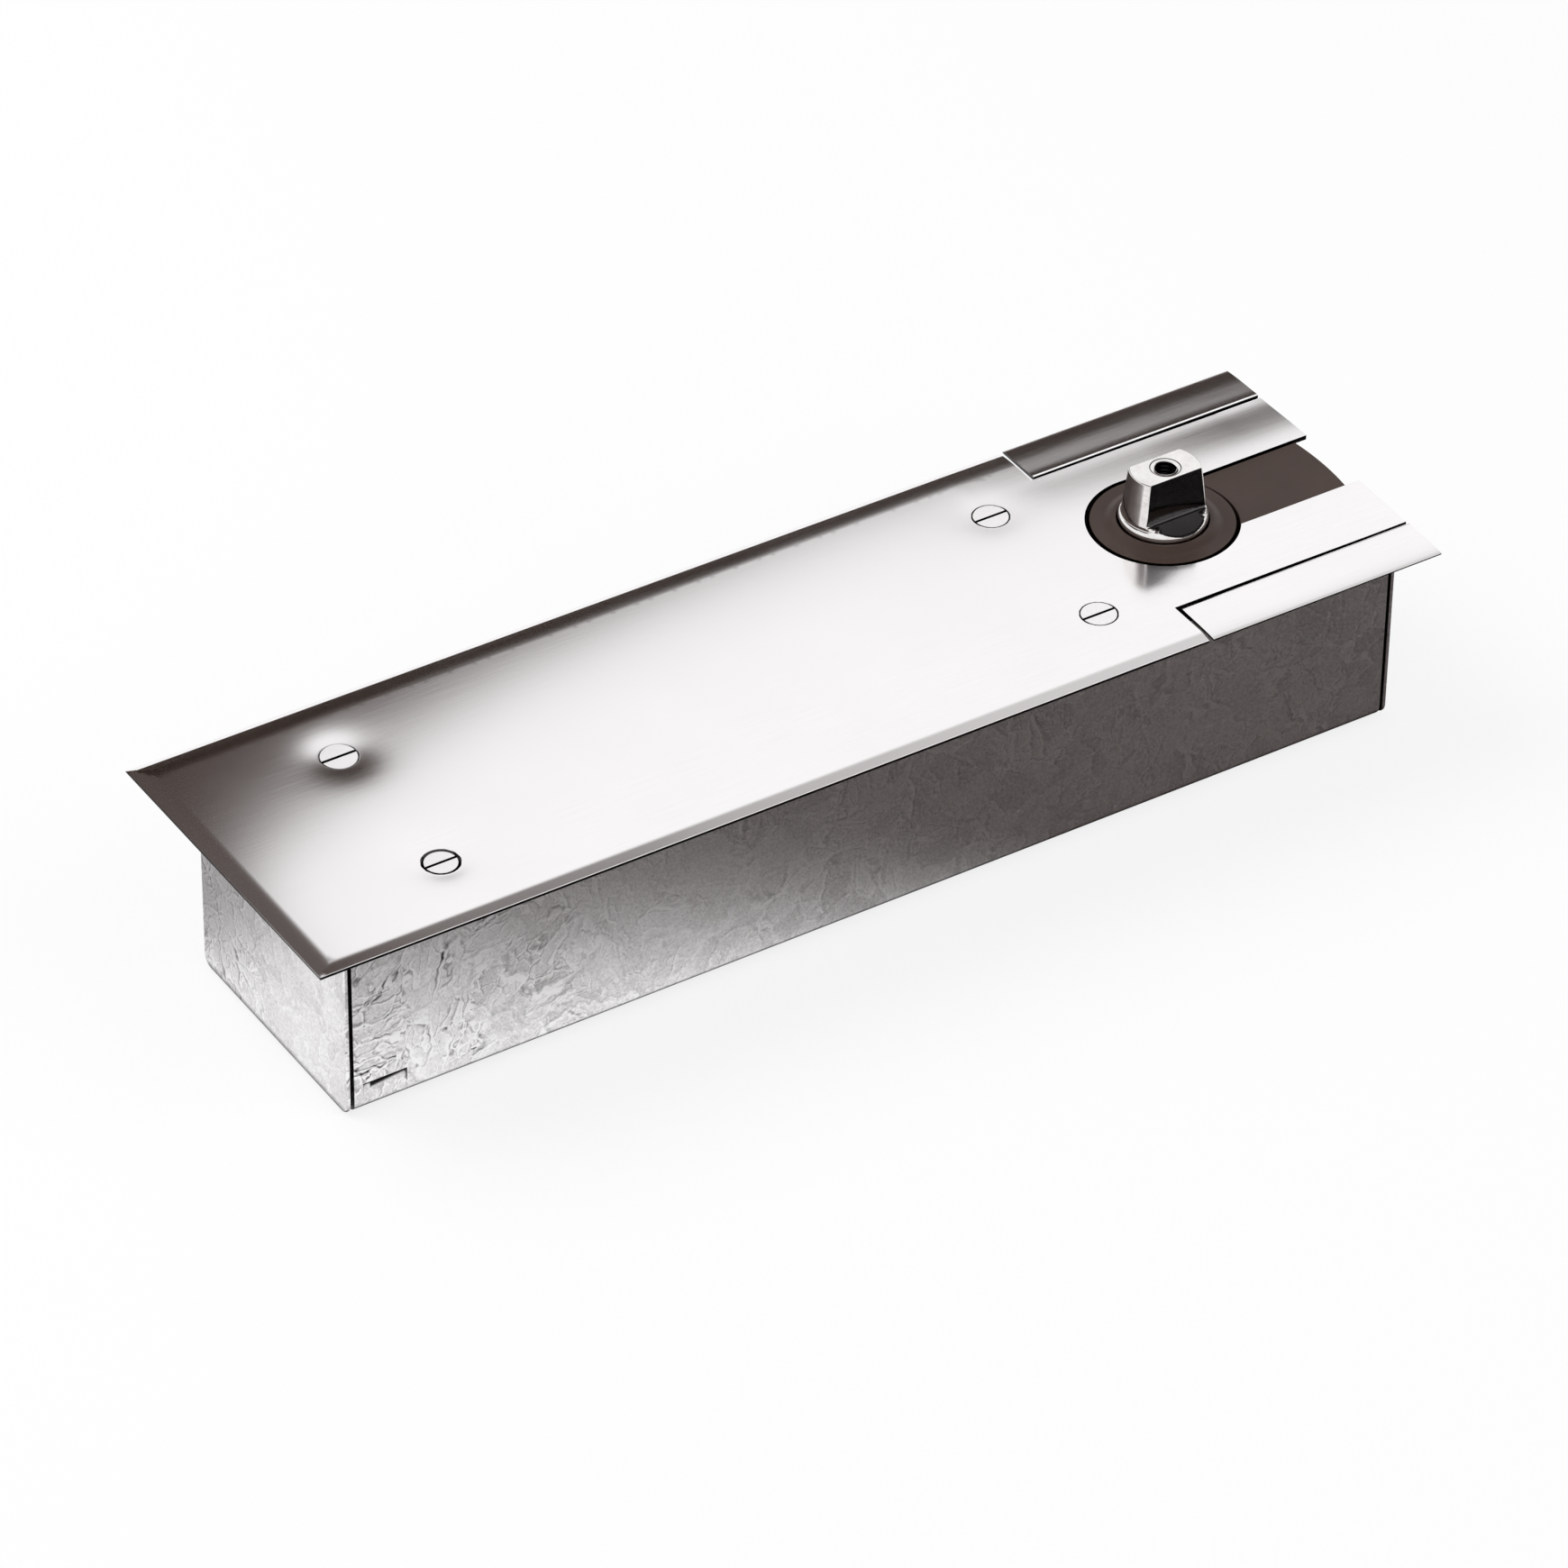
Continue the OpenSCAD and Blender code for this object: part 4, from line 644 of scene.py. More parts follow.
def cover_plate():
    """The cover plate: soft bends along its edges and a dish round each screw."""
    loop = plate_loop()[::-1]
    points = list(loop)
    edges = [(i, (i + 1) % len(loop)) for i in range(len(loop))]
    for sx, sy in SCREWS:
        start = len(points)
        points += circle(sx, sy, SCREW_HOLE_R, 48)
        edges += [(start + i, start + (i + 1) % 48) for i in range(48)]
    points += plate_points()
    out, _, faces, _, _, _ = delaunay_2d_cdt([Vector(p) for p in points], edges, [], 1, 1e-5)
    out = np.array([tuple(p) for p in out])
    mid = np.array([out[list(f)].mean(0) for f in faces])
    solid = np.ones(len(faces), bool)
    foot = np.ones(len(faces), bool)
    for sx, sy in SCREWS:
        away = np.hypot(mid[:, 0] - sx, mid[:, 1] - sy)
        solid &= away > SCREW_HOLE_R - 0.1
        foot &= away > 7.3
    x, y = out[:, 0], out[:, 1]
    shape = Shape()
    top = np.stack([x, y, plate_height(x, y)], -1)
    shape.add(top, [f for f, keep in zip(faces, solid) if keep], plate_normals(x, y))
    low = np.stack([x, y, np.full(len(x), -PLATE_T)], -1)
    down = np.tile((0, 0, -1), (len(x), 1))
    shape.add(low, [f[::-1] for f, keep in zip(faces, foot) if keep], down)
    loop_top = [float(plate_height(px, py)) for px, py in loop]
    wall(shape, loop, loop_top, -PLATE_T)
    for sx, sy in SCREWS:
        z = float(plate_height(sx + SCREW_HOLE_R, sy))
        turned(shape, [(2.65, -3.1), (SCREW_HOLE_R, z)], (sx, sy), 48)
        turned(shape, [(4.3, -3.1), (2.65, -3.1)], (sx, sy), 48)
        turned(shape, [(7.4, -PLATE_T), (6.6, -PLATE_T - 0.3), (4.3, -3.1)], (sx, sy), 48)
    plate = shape.piece("cover_plate_pressed", "stainless")
    finished(plate, "closer", "stainless", "cover_plate")


# How far each head lies below its seat's rim, how it leans, in degrees, and its radius
SCREW_SEATS = {
    "left_front": (0.14, 0.0, SCREW_R - 0.5), "left_rear": (-0.06, 3.4, SCREW_R),
    "right_front": (-0.03, 1.4, SCREW_R - 0.1), "right_rear": (-0.03, 1.6, SCREW_R - 0.1),
}


def slotted_screw(sx, sy, place):
    """A countersunk screw with a straight slot and a slightly rounded rim."""
    slot, head_foot, shank_r, length, segments = (12, 0.84, 2.8), -3.0, 2.5, 14.0, 96
    sunk, lean, head_r = SCREW_SEATS[place]
    top = -DISH_DEPTH[sx] - sunk
    bm = bmesh.new()
    profile = [
        (0, top), (head_r - 0.12, top), (head_r, top - 0.12), (shank_r, head_foot),
        (shank_r, -length + 0.5), (shank_r - 0.4, -length), (0, -length),
    ]
    rings = []
    for r, z in profile:
        ring = [(sx, sy)] if r == 0 else circle(sx, sy, r, segments)
        rings.append([bm.verts.new((px, py, z)) for px, py in ring])
    for a, b in zip(rings, rings[1:]):
        for i in range(segments):
            j = i + 1
            quad = [a[i % len(a)], b[i % len(b)], b[j % len(b)], a[j % len(a)]]
            bm.faces.new(list(dict.fromkeys(quad)))
    mesh = baked(bm, "screw")
    mesh.transform(Matrix.Scale(MM, 4))
    screw = placed("cover_screw_" + place, mesh)
    to_head = Matrix.Translation(Vector((sx, sy, top)) * MM)
    bm = bmesh.new()
    bmesh.ops.create_cube(bm, size=1)
    scale = Matrix.Diagonal(Vector((*slot, 1 / MM)) * MM)
    bmesh.ops.transform(bm, verts=bm.verts, matrix=to_head @ scale)
    cutter = placed("cutter", baked(bm, "cutter"))
    cut = screw.modifiers.new("slot", "BOOLEAN")
    cut.object, cut.operation, cut.solver = cutter, "DIFFERENCE", "EXACT"
    edges = screw.modifiers.new("edges", "BEVEL")
    edges.width, edges.segments, edges.angle_limit = 0.05 * MM, 2, math.radians(50)
    applied(screw)
    bpy.data.objects.remove(cutter)
    leaning = to_head @ Matrix.Rotation(math.radians(lean), 4, "X") @ to_head.inverted()
    for vert in screw.data.vertices:
        if vert.co.z > (head_foot - 0.1) * MM:
            vert.co = leaning @ vert.co
    screw.data.materials.clear()
    screw.data.materials.append(materials["cover_screw_steel"])
    finished(screw, "closer", "cover_screw_steel", "cover_screws")


def applied(obj):
    """Turns an object's modifiers into its mesh."""
    graph = bpy.context.evaluated_depsgraph_get()
    mesh = bpy.data.meshes.new_from_object(obj.evaluated_get(graph), depsgraph=graph)
    obj.modifiers.clear()
    obj.data = mesh


def edge_rounded(node, radius, slot_name):
    """A piece with a CAD node's form, flat faces and softly rounded edges, radius in mm."""
    bm = bmesh.new()
    bm.from_mesh(nodes[node].data)
    bmesh.ops.remove_doubles(bm, verts=bm.verts, dist=2e-6)
    bmesh.ops.dissolve_limit(bm, angle_limit=math.radians(0.5), verts=bm.verts, edges=bm.edges)
    mesh = baked(bm, node + "_formed")
    if "custom_normal" in mesh.attributes:
        mesh.attributes.remove(mesh.attributes["custom_normal"])
    piece = placed(node + "_formed", mesh)
    bevel = piece.modifiers.new("edges", "BEVEL")
    bevel.width, bevel.segments, bevel.limit_method = radius * MM, 3, "ANGLE"
    bevel.angle_limit = math.radians(40)
    bevel.use_clamp_overlap = True
    mesh.polygons.foreach_set("use_smooth", [True] * len(mesh.polygons))
    piece.modifiers.new("normals", "WEIGHTED_NORMAL").keep_sharp = False
    applied(piece)
    piece.data.materials.clear()
    piece.data.materials.append(materials[slot_name])
    finished(piece, "closer", slot_name, node)


# Edge strips


def strip_height(x, y):
    """Height of an edge strip's arched, slightly twisted top, y from the plate's middle line."""
    twist = 0.006 * (y - strip_low[1]) * max(0, (x + 5) / 50)
    return -0.38 - fall(y, STRIP_Y, STRIP_SLOPE) - twist


def edge_strip(side, name):
    """One arched strip with the thin leg that holds it to the box."""
    x0, x1 = strip_low[0], strip_high[0]
    inner, outer = strip_low[1], strip_high[1]
    shape = Shape()
    ys = np.concatenate([steps(inner, inner + 2, 0.2)[:-1], steps(inner + 2, outer, 0.4)])
    xs = steps(x0, x1, 6)
    top = [[(x, side * y, z) for y, z in zip(ys, strip_height(x, ys))] for x in xs]
    if side > 0:
        top = [row[::-1] for row in top]
    points, faces, normals = grid_surface(top)
    shape.add(points, [f[::-1] for f in faces], -normals)
    plan = [(x0, inner), (x1, inner), (x1, outer), (x0, outer)]
    flats = [([(x, y, -PLATE_T) for x, y in plan], (0, 0, -1))]
    for y, ny in ((outer, 1), (inner, -1)):
        rim = [(x, y, float(strip_height(x, np.array([y]))[0])) for x in xs]
        flats.append((rim + [(x1, y, -PLATE_T), (x0, y, -PLATE_T)], (0, ny, 0)))
    for x, nx in ((x0, -1), (x1, 1)):
        outline = [(x, y, z) for y, z in zip(ys, strip_height(x, ys))]
        flats.append((outline + [(x, outer, -PLATE_T), (x, inner, -PLATE_T)], (nx, 0, 0)))
    leg_t, leg_x0, leg_x1, leg_top, low = 1.0, x0 + 5, box_high[0] - 7.0, -1.4, strip_low[2]
    a, b = (leg_x0, inner), (leg_x1, inner)
    c, d = (leg_x1, inner + leg_t), (leg_x0, inner + leg_t)
    for p, q, nx, ny in ((a, b, 0, -1), (c, d, 0, 1), (d, a, -1, 0), (b, c, 1, 0)):
        flats.append(([(*p, low), (*q, low), (*q, leg_top), (*p, leg_top)], (nx, ny, 0)))
    flats.append(([(*corner, low) for corner in (a, d, c, b)], (0, 0, -1)))
    for corners, (nx, ny, nz) in flats:
        corners = [Vector((x, side * y, z)) for x, y, z in corners]
        normal = Vector((nx, side * ny, nz))
        turn = (corners[1] - corners[0]).cross(corners[2] - corners[1])
        order = list(range(len(corners)))
        if turn.dot(normal) < 0:
            order.reverse()
        shape.add(corners, [order], [normal] * len(corners))
    strip = shape.piece(f"{name}_arched", "stainless")
    finished(strip, "closer", "stainless", name)


# Collar disc


def smooth(t):
    t = min(1.0, max(0.0, t))
    return t * t * (3 - 2 * t)


def collar_disc():
    """The dark disc with a raised middle that fades into its flat rim."""
    r_in, z_low = 13.2, -1.3
    skirt_in, skirt_out, skirt_z = 16.5, 17.8, disc_low[2]
    shape = Shape()
    rim, lip = 0.75, 0.2
    profile = [
        (DISC_R - rim + rim * math.sin(a), -0.02 - rim + rim * math.cos(a))
        for a in np.linspace(math.pi / 2, 0, 7)
    ]
    for r in steps(DISC_R - rim - 0.2, r_in + lip, 0.3):
        profile.append((r, -0.02 + 1.2 * smooth((17.2 - r) / 3.4)))
    top = profile[-1][1]
    profile += [
        (r_in + lip - lip * math.sin(a), top - lip + lip * math.cos(a))
        for a in np.linspace(0, math.pi / 2, 6)[1:]
    ]
    for part in (
        profile, [(r_in, top - lip), (r_in, z_low)], [(DISC_R, z_low), (DISC_R, -0.02 - rim)],
        [(skirt_out, z_low), (DISC_R, z_low)], [(r_in, z_low), (skirt_in, z_low)],
        [(skirt_in, z_low), (skirt_in, skirt_z)], [(skirt_in, skirt_z), (skirt_out, skirt_z)],
        [(skirt_out, skirt_z), (skirt_out, z_low)],
    ):
        turned(shape, part, segments=144)
    disc = shape.piece("collar_disc_moulded", "dark_plastic")
    finished(disc, "closer", "dark_plastic", "collar_disc")


# Spindle

SPINDLE_TOP = spindle_high[2]
SPINDLE_FOOT = spindle_low[2]
AXIS_Z = -35.0
FLAT_FOOT_Z, FLAT_BASE, FLAT_TOP = 5.2, 6.25, 5.35
COLLAR_R, COLLAR_TOP = 12.8, 4.2
HEAD_BASE_R, HEAD_TOP_R = 12.1, 10.3
BORE_R, CSINK_R, BORE_DEPTH = 3.4, 4.25, 20.5


def spindle_outline():
    """Radius and height along the turned spindle, from its foot to its top."""
    shaft, journal = 10.0, 8.0
    shoulder, collar_foot = AXIS_Z - 10.15, -4.4
    points = [
        (0.5, SPINDLE_FOOT), (journal - 0.5, SPINDLE_FOOT), (journal, SPINDLE_FOOT + 0.5),
        (journal, shoulder), (journal + 0.001, shoulder), (shaft - 0.3, shoulder),
        (shaft, shoulder + 0.3), (shaft, AXIS_Z - 5.51), (shaft, AXIS_Z - 5.5), (shaft, AXIS_Z),
        (shaft, AXIS_Z + 5.5), (shaft, AXIS_Z + 5.51), (shaft, collar_foot - 0.1),
        (shaft + 0.001, collar_foot), (COLLAR_R - 0.3, collar_foot), (COLLAR_R, collar_foot + 0.3),
    ]
    crown = 2.5
    points += [(COLLAR_R, z) for z in steps(collar_foot + 1, COLLAR_TOP - 2.2, 0.6)]
    points += [
        (COLLAR_R - crown + crown * math.cos(a), COLLAR_TOP - 2.15 + crown * math.sin(a))
        for a in np.linspace(0.05, 0.74, 10)
    ]
    points += [(HEAD_BASE_R + 0.02, COLLAR_TOP - 0.42), (HEAD_BASE_R - 0.05, COLLAR_TOP - 0.2)]
    top_z = SPINDLE_TOP - 0.5
    for z in steps(COLLAR_TOP + 0.4, top_z, 0.3):
        t = (z - COLLAR_TOP) / (SPINDLE_TOP - COLLAR_TOP)
        points.append((HEAD_BASE_R + (HEAD_TOP_R - HEAD_BASE_R) * t, z))
    edge_r = points[-1][0]
    points += [
        (edge_r - 0.45 + 0.45 * math.cos(a), top_z + 0.5 * math.sin(a))
        for a in np.linspace(0.2, math.pi / 2, 7)
    ]
    return points


def flat_half(z):
    """Distance of a flat from the axis at a height, with its sloping run-out over the collar."""
    if z < FLAT_FOOT_Z:
        return FLAT_BASE + (FLAT_FOOT_Z - z) / 0.4
    return FLAT_BASE + (FLAT_TOP - FLAT_BASE) * (z - FLAT_FOOT_Z) / (SPINDLE_TOP - FLAT_FOOT_Z)


def soft_min(a, b, soft):
    """The smaller of two lengths, blended where they are close."""
    h = np.clip(0.5 + 0.5 * (b - a) / soft, 0, 1)
    return b + (a - b) * h - soft * h * (1 - h)


def spindle():
    """The spindle: tapered head with two flats, threaded hole, collar, shaft and key seat."""
    count = 288
    angles = np.linspace(0, 2 * math.pi, count, endpoint=False)
    sine = np.maximum(np.abs(np.sin(angles)), 1e-4)
    key = np.abs(10 * np.sin(angles)) < 2.51
    key &= np.cos(angles) > 0
    rows = []
    for radius, z in spindle_outline():
        rho = np.full(count, radius)
        if z > -1:
            rho = soft_min(rho, flat_half(z) / sine, 0.12)
        if AXIS_Z - 5.505 < z < AXIS_Z + 5.505:
            rho = np.where(key, 7.6 / np.cos(angles), rho)
        rows.append(np.stack([rho * np.cos(angles), rho * np.sin(angles), np.full(count, z)], -1))
    shape = Shape()
    shape.add(*grid_surface(rows, closed=True))
    rim = rows[-1]
    ring_r, groove, bore = CSINK_R + 0.3, 0.45, BORE_R - 0.25
    ring = np.stack([ring_r * np.cos(angles), ring_r * np.sin(angles), np.zeros(count)], -1)
    face = []
    for t in np.linspace(0, 1, 8):
        row = rim * (1 - t) + ring * t
        row[:, 2] = SPINDLE_TOP
        face.append(row)
    points, faces, _ = grid_surface(face, closed=True)
    shape.add(points, faces, np.tile((0, 0, 1), (len(points), 1)))
    for part in (
        [(ring_r, 0), (ring_r - 0.02, groove)], [(ring_r - 0.02, groove), (CSINK_R, groove)],
        [(CSINK_R, groove), (CSINK_R - 0.03, 0.06)],
        [(CSINK_R - 0.03, 0.06), (BORE_R, 0.12), (bore, 0.3)], [(bore, 0.3), (bore, 0.95)],
    ):
        turned(shape, [(r, SPINDLE_TOP - down) for r, down in part])
    pitch, depth = 1.25, 0.45
    thread_top, end_z = SPINDLE_TOP - 0.9, SPINDLE_TOP - BORE_DEPTH
    around = angles[::3]
    thread = []
    for z in steps(thread_top, end_z, 0.12):
        wave = 0.5 + 0.5 * np.cos(2 * math.pi * z / pitch - around)
        r = BORE_R + 0.1 + (depth * wave - 0.1) * min(1, (thread_top - z) / 0.6)
        thread.append(np.stack([r * np.cos(around), r * np.sin(around), np.full(len(r), z)], -1))
    shape.add(*grid_surface(thread, closed=True))
    turned(shape, [(BORE_R + depth, end_z), (0.01, end_z)])
    turned(shape, [(0.01, SPINDLE_FOOT), (7.5, SPINDLE_FOOT)])
    piece = shape.piece("spindle_turned", "spindle_steel")
    finished(piece, "spindle", "spindle_steel", "spindle")


# Closing spring


def closing_spring():
    """The closing spring as a round wire whose end turns lie close. Its two halves meet in the
    middle."""
    low, high = node_box("closing_spring")
    wire, turns, sides, per_turn = 2.75, 16, 14, 40
    coil = (high[1] - low[1]) / 2 - wire
    total = high[0] - low[0] - 2 * wire
    close_pitch = 2 * wire + 0.6
    open_pitch = (total - 2 * close_pitch) / (turns - 2)
    last = turns * per_turn
    rows = []
    for i in range(last + 1):
        turn = i / per_turn
        if turn < 1:
            x = turn * close_pitch
        elif turn > turns - 1:
            x = total - (turns - turn) * close_pitch
        else:
            x = close_pitch + (turn - 1) * open_pitch
        out = Vector((0, math.cos(2 * math.pi * turn), math.sin(2 * math.pi * turn)))
        centre = Vector((low[0] + wire + x, 0, AXIS_Z)) + coil * out
        swell = wire if 2 < i < last - 2 else wire * 0.96
        rows.append([
            tuple(centre + swell * (out * math.cos(b) + Vector((1, 0, 0)) * math.sin(b)))
            for b in np.linspace(0, 2 * math.pi, sides, endpoint=False)
        ])
    middle = len(rows) // 2
    for name, part, body, end in (
        ("plate_half", rows[:middle + 1], "spring_plate", low[0]),
        ("piston_half", rows[middle:], "carriage", high[0]),
    ):
        shape = Shape()
        shape.add(*grid_surface(part, closed=True))
        for row, beside, first in ((part[0], part[1], True), (part[-1], part[-2], False)):
            normal = (Vector(row[0]) - Vector(beside[0])).normalized()
            order = list(range(sides))
            shape.add(row, [order[::-1] if first else order], [normal] * sides)
        piece = shape.piece(f"closing_spring_{name}", "spring_steel")
        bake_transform(piece)
        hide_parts("closing_spring")


cover_plate()
for (screw_x, screw_y), place in zip(SCREWS, SCREW_SEATS):
    slotted_screw(screw_x, screw_y, place)
edge_strip(-1, "edge_strip_front")
edge_strip(1, "edge_strip_rear")
collar_disc()
spindle()
closing_spring()
for node in ("box_shell", "box_end_left", "box_end_right"):
    edge_rounded(node, 0.45, "galvanised_sheet")
edge_rounded("slot_filler", 0.5, "dark_plastic")

for subpart in frame["record"]["subparts"]:
    obj = nodes[subpart["node"]]
    obj.data.materials.clear()
    obj.data.materials.append(materials[subpart["material_slot"]])


# Camera, fitted to the photograph

AZIMUTH, ELEVATION, ROLL_ANGLE = -0.575028, 0.655346, 0.0141113
FOCAL_PIXELS, PICTURE_PIXELS, SENSOR = 9271.56, 1740, 36.0
ASIDE, UPWARD, AWAY = -6.39367, 14.3695, 2331.61
box_middle = Vector(((PLATE_LEFT + 14.6 + PLATE_RIGHT - 5.4) / 2, 0, box_low[2]))

back = Vector((
    math.sin(AZIMUTH) * math.cos(ELEVATION), -math.cos(AZIMUTH) * math.cos(ELEVATION),
    math.sin(ELEVATION),
))
level = Vector((math.cos(AZIMUTH), math.sin(AZIMUTH), 0))
upright = back.cross(level)
right = math.cos(ROLL_ANGLE) * level + math.sin(ROLL_ANGLE) * upright
up = math.cos(ROLL_ANGLE) * upright - math.sin(ROLL_ANGLE) * level
eye = box_middle + right * ASIDE + up * UPWARD + back * AWAY

camera_data = bpy.data.cameras.new("camera")
camera_data.sensor_width = SENSOR
camera_data.lens = FOCAL_PIXELS / PICTURE_PIXELS * SENSOR
camera_data.clip_start, camera_data.clip_end = 0.05, 50
camera = placed("camera", camera_data)
facing = Matrix((right, up, back)).transposed().to_4x4()
camera.matrix_world = Matrix.Translation(eye * MM) @ facing
bpy.context.scene.camera = camera


# Studio: white surround, pale floor, soft lamps and dark cards that only reflections show

WHITE = (1, 1, 1)
CANOPY_Z = 180


def seen_white(tree):
    """1 for rays that should meet white: the camera's, reflections and what glass lets through."""
    path = tree.nodes.new("ShaderNodeLightPath")
    total = path.outputs["Is Camera Ray"]
    for name in ("Is Glossy Ray", "Is Transmission Ray"):
        add = tree.nodes.new("ShaderNodeMath")
        add.operation = "MAXIMUM"
        tree.links.new(total, add.inputs[0])
        tree.links.new(path.outputs[name], add.inputs[1])
        total = add.outputs[0]
    return total


def emptied(owner):
    """The empty node tree of a material or world."""
    owner.use_nodes = True
    owner.node_tree.nodes.clear()
    return owner.node_tree


def coloured(tree, kind, colour, **sockets):
    """A shader node of one colour."""
    node = tree.nodes.new(kind)
    node.inputs["Color"].default_value = (*colour, 1)
    for name, value in sockets.items():
        node.inputs[name].default_value = value
    return node


def mixed(tree, share, first, second, output="ShaderNodeOutputMaterial"):
    """Shows a mix of two shaders."""
    mix, out = tree.nodes.new("ShaderNodeMixShader"), tree.nodes.new(output)
    for source, target in (
        (share, mix.inputs["Fac"]), (first.outputs[0], mix.inputs[1]),
        (second.outputs[0], mix.inputs[2]), (mix.outputs[0], out.inputs["Surface"]),
    ):
        tree.links.new(source, target)


def studio_world():
    world = bpy.data.worlds.new("studio")
    bpy.context.scene.world = world
    tree = emptied(world)
    light = coloured(tree, "ShaderNodeBackground", WHITE, Strength=0.5)
    white = coloured(tree, "ShaderNodeBackground", WHITE, Strength=1.0)
    mixed(tree, seen_white(tree), light, white, "ShaderNodeOutputWorld")


def pale_floor():
    """A wide floor that keeps the object's shadow and is white elsewhere."""
    mesh = bpy.data.meshes.new("floor")
    half, z = 6.0, box_low[2] * MM - 0.0003
    corners = [(-half, -half, z), (half, -half, z), (half, half, z), (-half, half, z)]
    mesh.from_pydata(corners, [], [(0, 1, 2, 3)])
    material = bpy.data.materials.new("pale_floor")
    tree = emptied(material)
    share = tree.nodes.new("ShaderNodeMath")
    share.operation = "MULTIPLY"
    share.inputs[1].default_value = 0.8
    tree.links.new(seen_white(tree), share.inputs[0])
    diffuse = coloured(tree, "ShaderNodeBsdfDiffuse", (0.93, 0.93, 0.93))
    mixed(tree, share.outputs[0], diffuse, coloured(tree, "ShaderNodeEmission", WHITE))
    mesh.materials.append(material)
    placed("floor", mesh)


def soft_lamp(name, place, aim, size, watts):
    data = bpy.data.lights.new(name, "AREA")
    data.shape, data.size, data.energy = "DISK", size, watts
    lamp = placed(name, data)
    lamp.location = place
    lamp.rotation_euler = (Vector(aim) - Vector(place)).to_track_quat("-Z", "Y").to_euler()
    lamp.visible_glossy = False


def seen_in_plate(x, y, height):
    """The point at a height that shows in the plate at x, y from the camera."""
    on_plate = Vector((x, y, 0))
    sight = on_plate - eye
    return on_plate + Vector((sight.x, sight.y, -sight.z)) * (height / -sight.z)


def dark_card(name, point_of, tone, shade):
    """A dark card that only reflections show. point_of maps u, v from 0 to 1 to its surface, and
    shade gives how solid it is there."""
    side = 90
    grid = [(i / (side - 1), j / (side - 1)) for j in range(side) for i in range(side)]
    mesh = bpy.data.meshes.new(name)
    corners = [j * side + i for j in range(side - 1) for i in range(side - 1)]
    faces = [(k, k + 1, k + side + 1, k + side) for k in corners]
    mesh.from_pydata([point_of(u, v) * MM for u, v in grid], [], faces)
    solid = mesh.attributes.new("solid", "FLOAT", "POINT")
    solid.data.foreach_set("value", [shade(u, v) for u, v in grid])
    card = placed(name, mesh)
    card.visible_camera = card.visible_diffuse = card.visible_shadow = False
    material = bpy.data.materials.new(name)
    tree = emptied(material)
    amount = tree.nodes.new("ShaderNodeAttribute")
    amount.attribute_name = "solid"
    clear = tree.nodes.new("ShaderNodeBsdfTransparent")
    mixed(tree, amount.outputs["Fac"], clear, coloured(tree, "ShaderNodeEmission", tone))
    mesh.materials.append(material)


def between(low, high, t):
    return low + (high - low) * t


def soft_edged(u, v, left, right, low, high):
    """Fades towards a card's edges, over a share of its size for each. 0 is a sharp edge."""
    fade = 1.0
    for inward, width in ((u, left), (1 - u, right), (v, low), (1 - v, high)):
        fade *= smooth(inward / width) if width else 1.0
    return fade


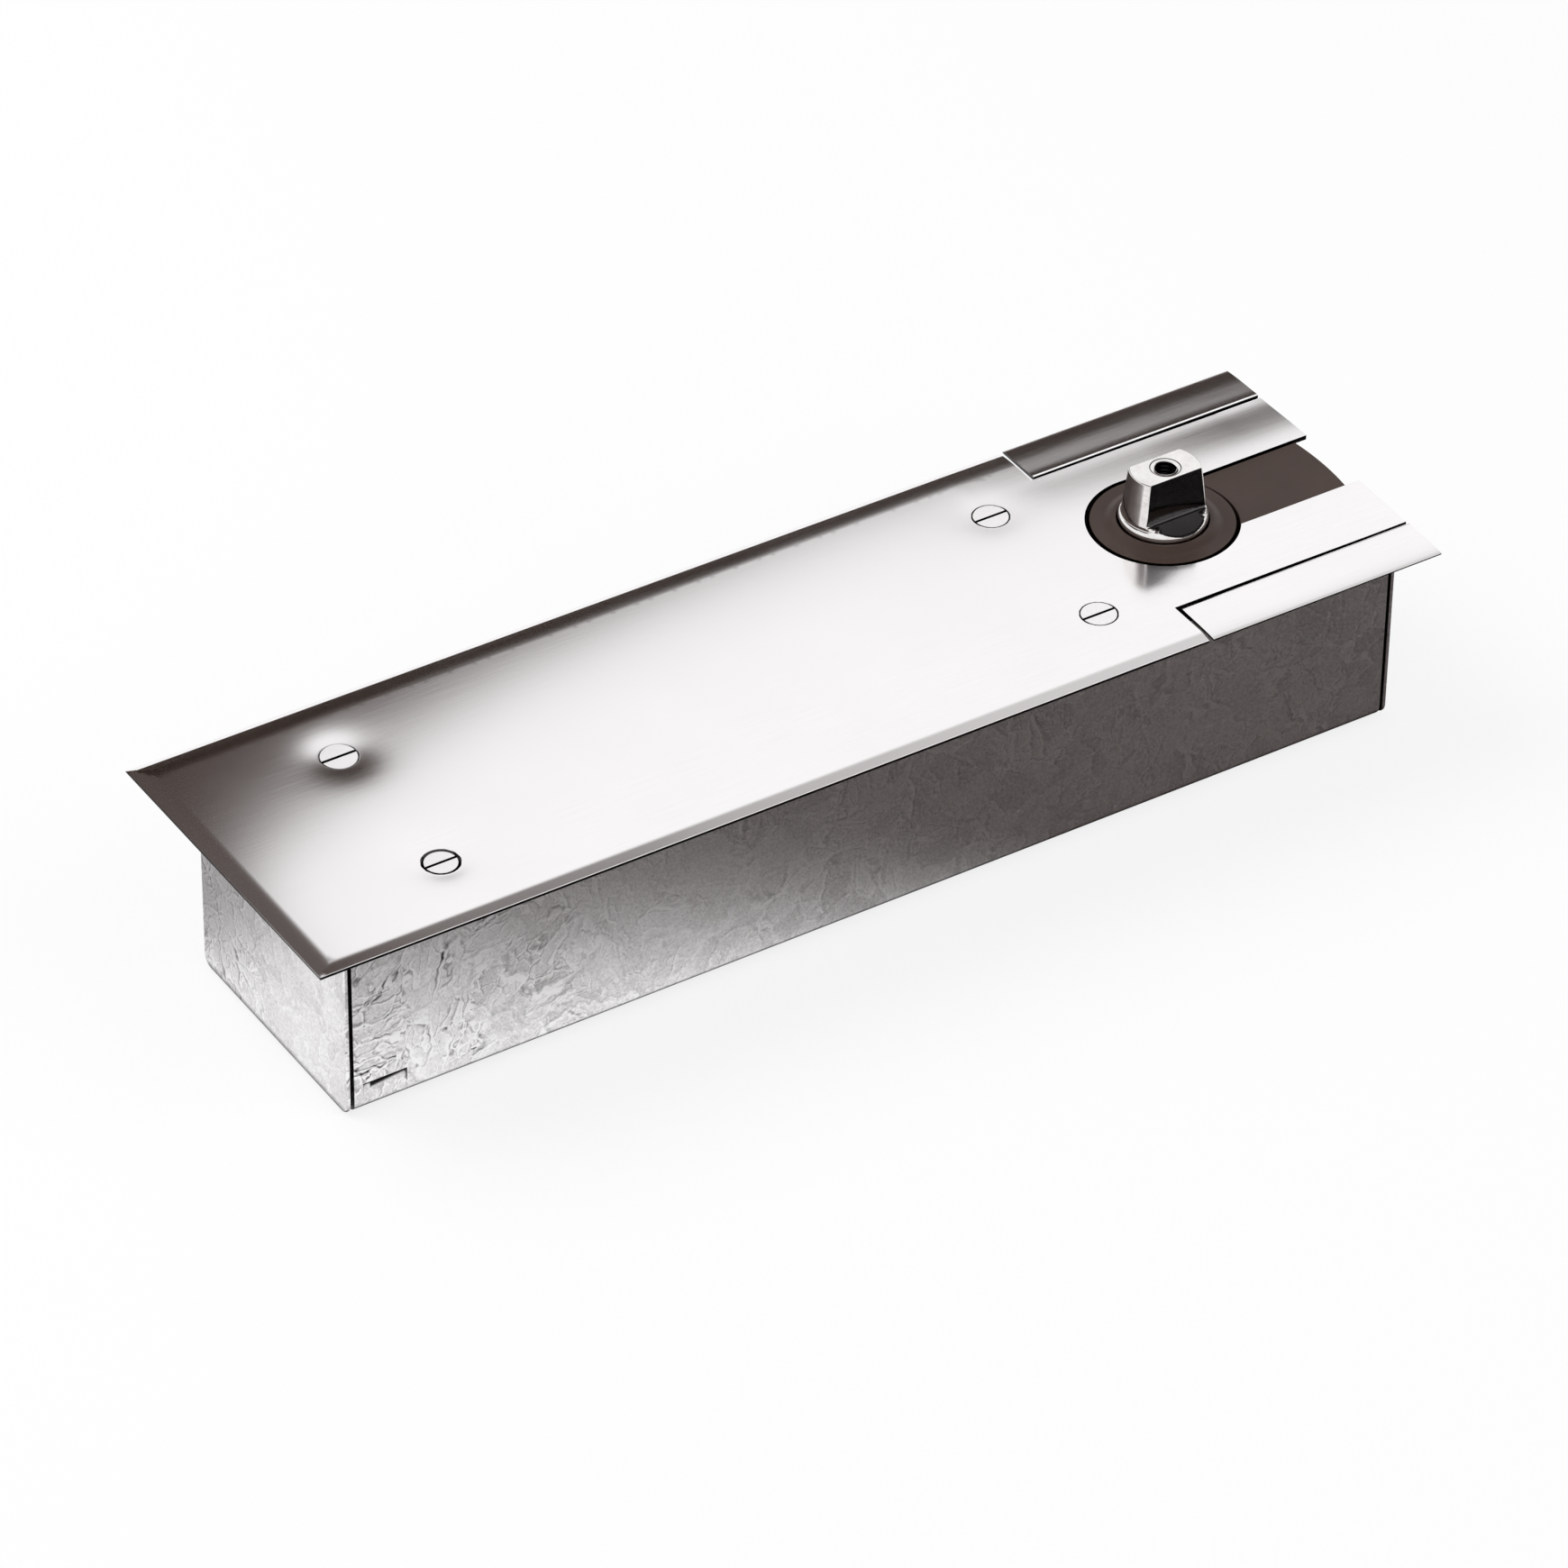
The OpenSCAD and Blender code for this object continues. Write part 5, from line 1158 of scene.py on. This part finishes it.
def canopy():
    """A dark canopy with a wide opening: the plate shows the opening white and its edges dark."""
    x0, x1, y0, y1 = -560.0, 400.0, -420.0, 350.0
    bend_y = (-52, -20, -10, 0, 10, 20, 26, 34, 40, 44, 47, 60)
    bend_x = (-312, -306, -302, -293, -272, -248, -236, -206, -174, -147, -125, -100)
    bend_w = (8, 10, 14, 24, 34, 42, 50, 54, 54, 52, 50, 50)
    front_x = (-308, -228, -208, -128, -68, 50)
    front_dark = (0.93, 0.75, 0.6, 0.43, 0.36, 0.32)

    def shade(u, v):
        x, y = between(x0, x1, u), between(y0, y1, v)
        past_bend = (x - np.interp(y, bend_y, bend_x)) / (2 * np.interp(y, bend_y, bend_w))
        left = (1 - smooth(0.5 + past_bend)) * between(0.99, 0.955, smooth((30 - y) / 60))
        rim = between(45.0, 38.0, smooth((x + 50) / 40))
        far_light = between(0.15, 0.95, smooth((x + 220) / 130))
        far = smooth((y - rim) / 7) * between(1, far_light, smooth((y - 165) / 120))
        near_dark = np.interp(x, front_x, front_dark)
        front = smooth((-y - 85) / 50) * between(near_dark, 0.98, smooth((-y - 170) / 16))
        opened = 1 - smooth((-y - 225) / 30)
        opened *= 1 - smooth((-400 - x) / 40) * smooth((-y - 100) / 30)
        solid = 1 - (1 - left * opened) * (1 - far) * (1 - front * opened)
        return solid * soft_edged(u, v, 0, 0.12, 0.2, 0.08)

    dark_card(
        "canopy", lambda u, v: seen_in_plate(between(x0, x1, u), between(y0, y1, v), CANOPY_Z),
        (0.07, 0.052, 0.046), shade,
    )


def far_card():
    """Deepens the canopy where the far edge of the plate and the far strip mirror it."""
    dark_card(
        "far_card",
        lambda u, v: seen_in_plate(between(-345, 130, u), between(50, 172, v), CANOPY_Z - 2),
        (0.022, 0.013, 0.009), lambda u, v: soft_edged(u, v, 0.05, 0.05, 0.15, 0.15),
    )


def front_card():
    """A small card in front that shows in the spindle's front flat, by way of the plate."""
    centre, half_width, half_height = Vector((135, -235, 165)), 120, 105
    facing = -centre.normalized()
    across = facing.cross(Vector((0, 0, 1))).normalized() * half_width
    upward = across.cross(facing).normalized() * half_height
    dark_card(
        "front_card", lambda u, v: centre + across * (2 * u - 1) + upward * (2 * v - 1),
        (0.015, 0.012, 0.011),
        lambda u, v: smooth(min(u, 1 - u) / 0.2) * smooth(min(v, 1 - v) / 0.2),
    )


def floor_card():
    """On the floor: shows in the right part of the box's long side and the far part of its end."""
    x0, x1, y0, y1 = -560.0, 460.0, -470.0, 330.0
    z = box_low[2] + 0.3
    slope_x, slope_y = back.x / back.z, back.y / back.z

    def shade(u, v):
        x, y = between(x0, x1, u), between(y0, y1, v)
        height = max(0.0, (box_low[1] - y) / -slope_y)
        seen_x = x + slope_x * height
        wide = between(160, 240, min(1, height / 30))
        side = 0.97 * smooth(0.5 + (seen_x + 150 + 3.6 * (height - 7)) / wide) * (y < 0)
        end = 0.66 * smooth((y - 14) / 50) * smooth((box_low[0] + 4 - x) / 8)
        return max(side, end) * soft_edged(u, v, 0.15, 0.1, 0.25, 0.2)

    dark_card(
        "floor_card", lambda u, v: Vector((between(x0, x1, u), between(y0, y1, v), z)),
        (0.037, 0.023, 0.02), shade,
    )


studio_world()
pale_floor()
middle = Vector((-0.12, 0, -0.03))
soft_lamp("key", (-1.1, 0.9, 1.7), middle, 1.6, 26)
soft_lamp("fill", (0.9, -1.6, 1.3), middle, 2.2, 16)
canopy()
far_card()
front_card()
floor_card()

bpy.context.scene.view_settings.view_transform = "Standard"
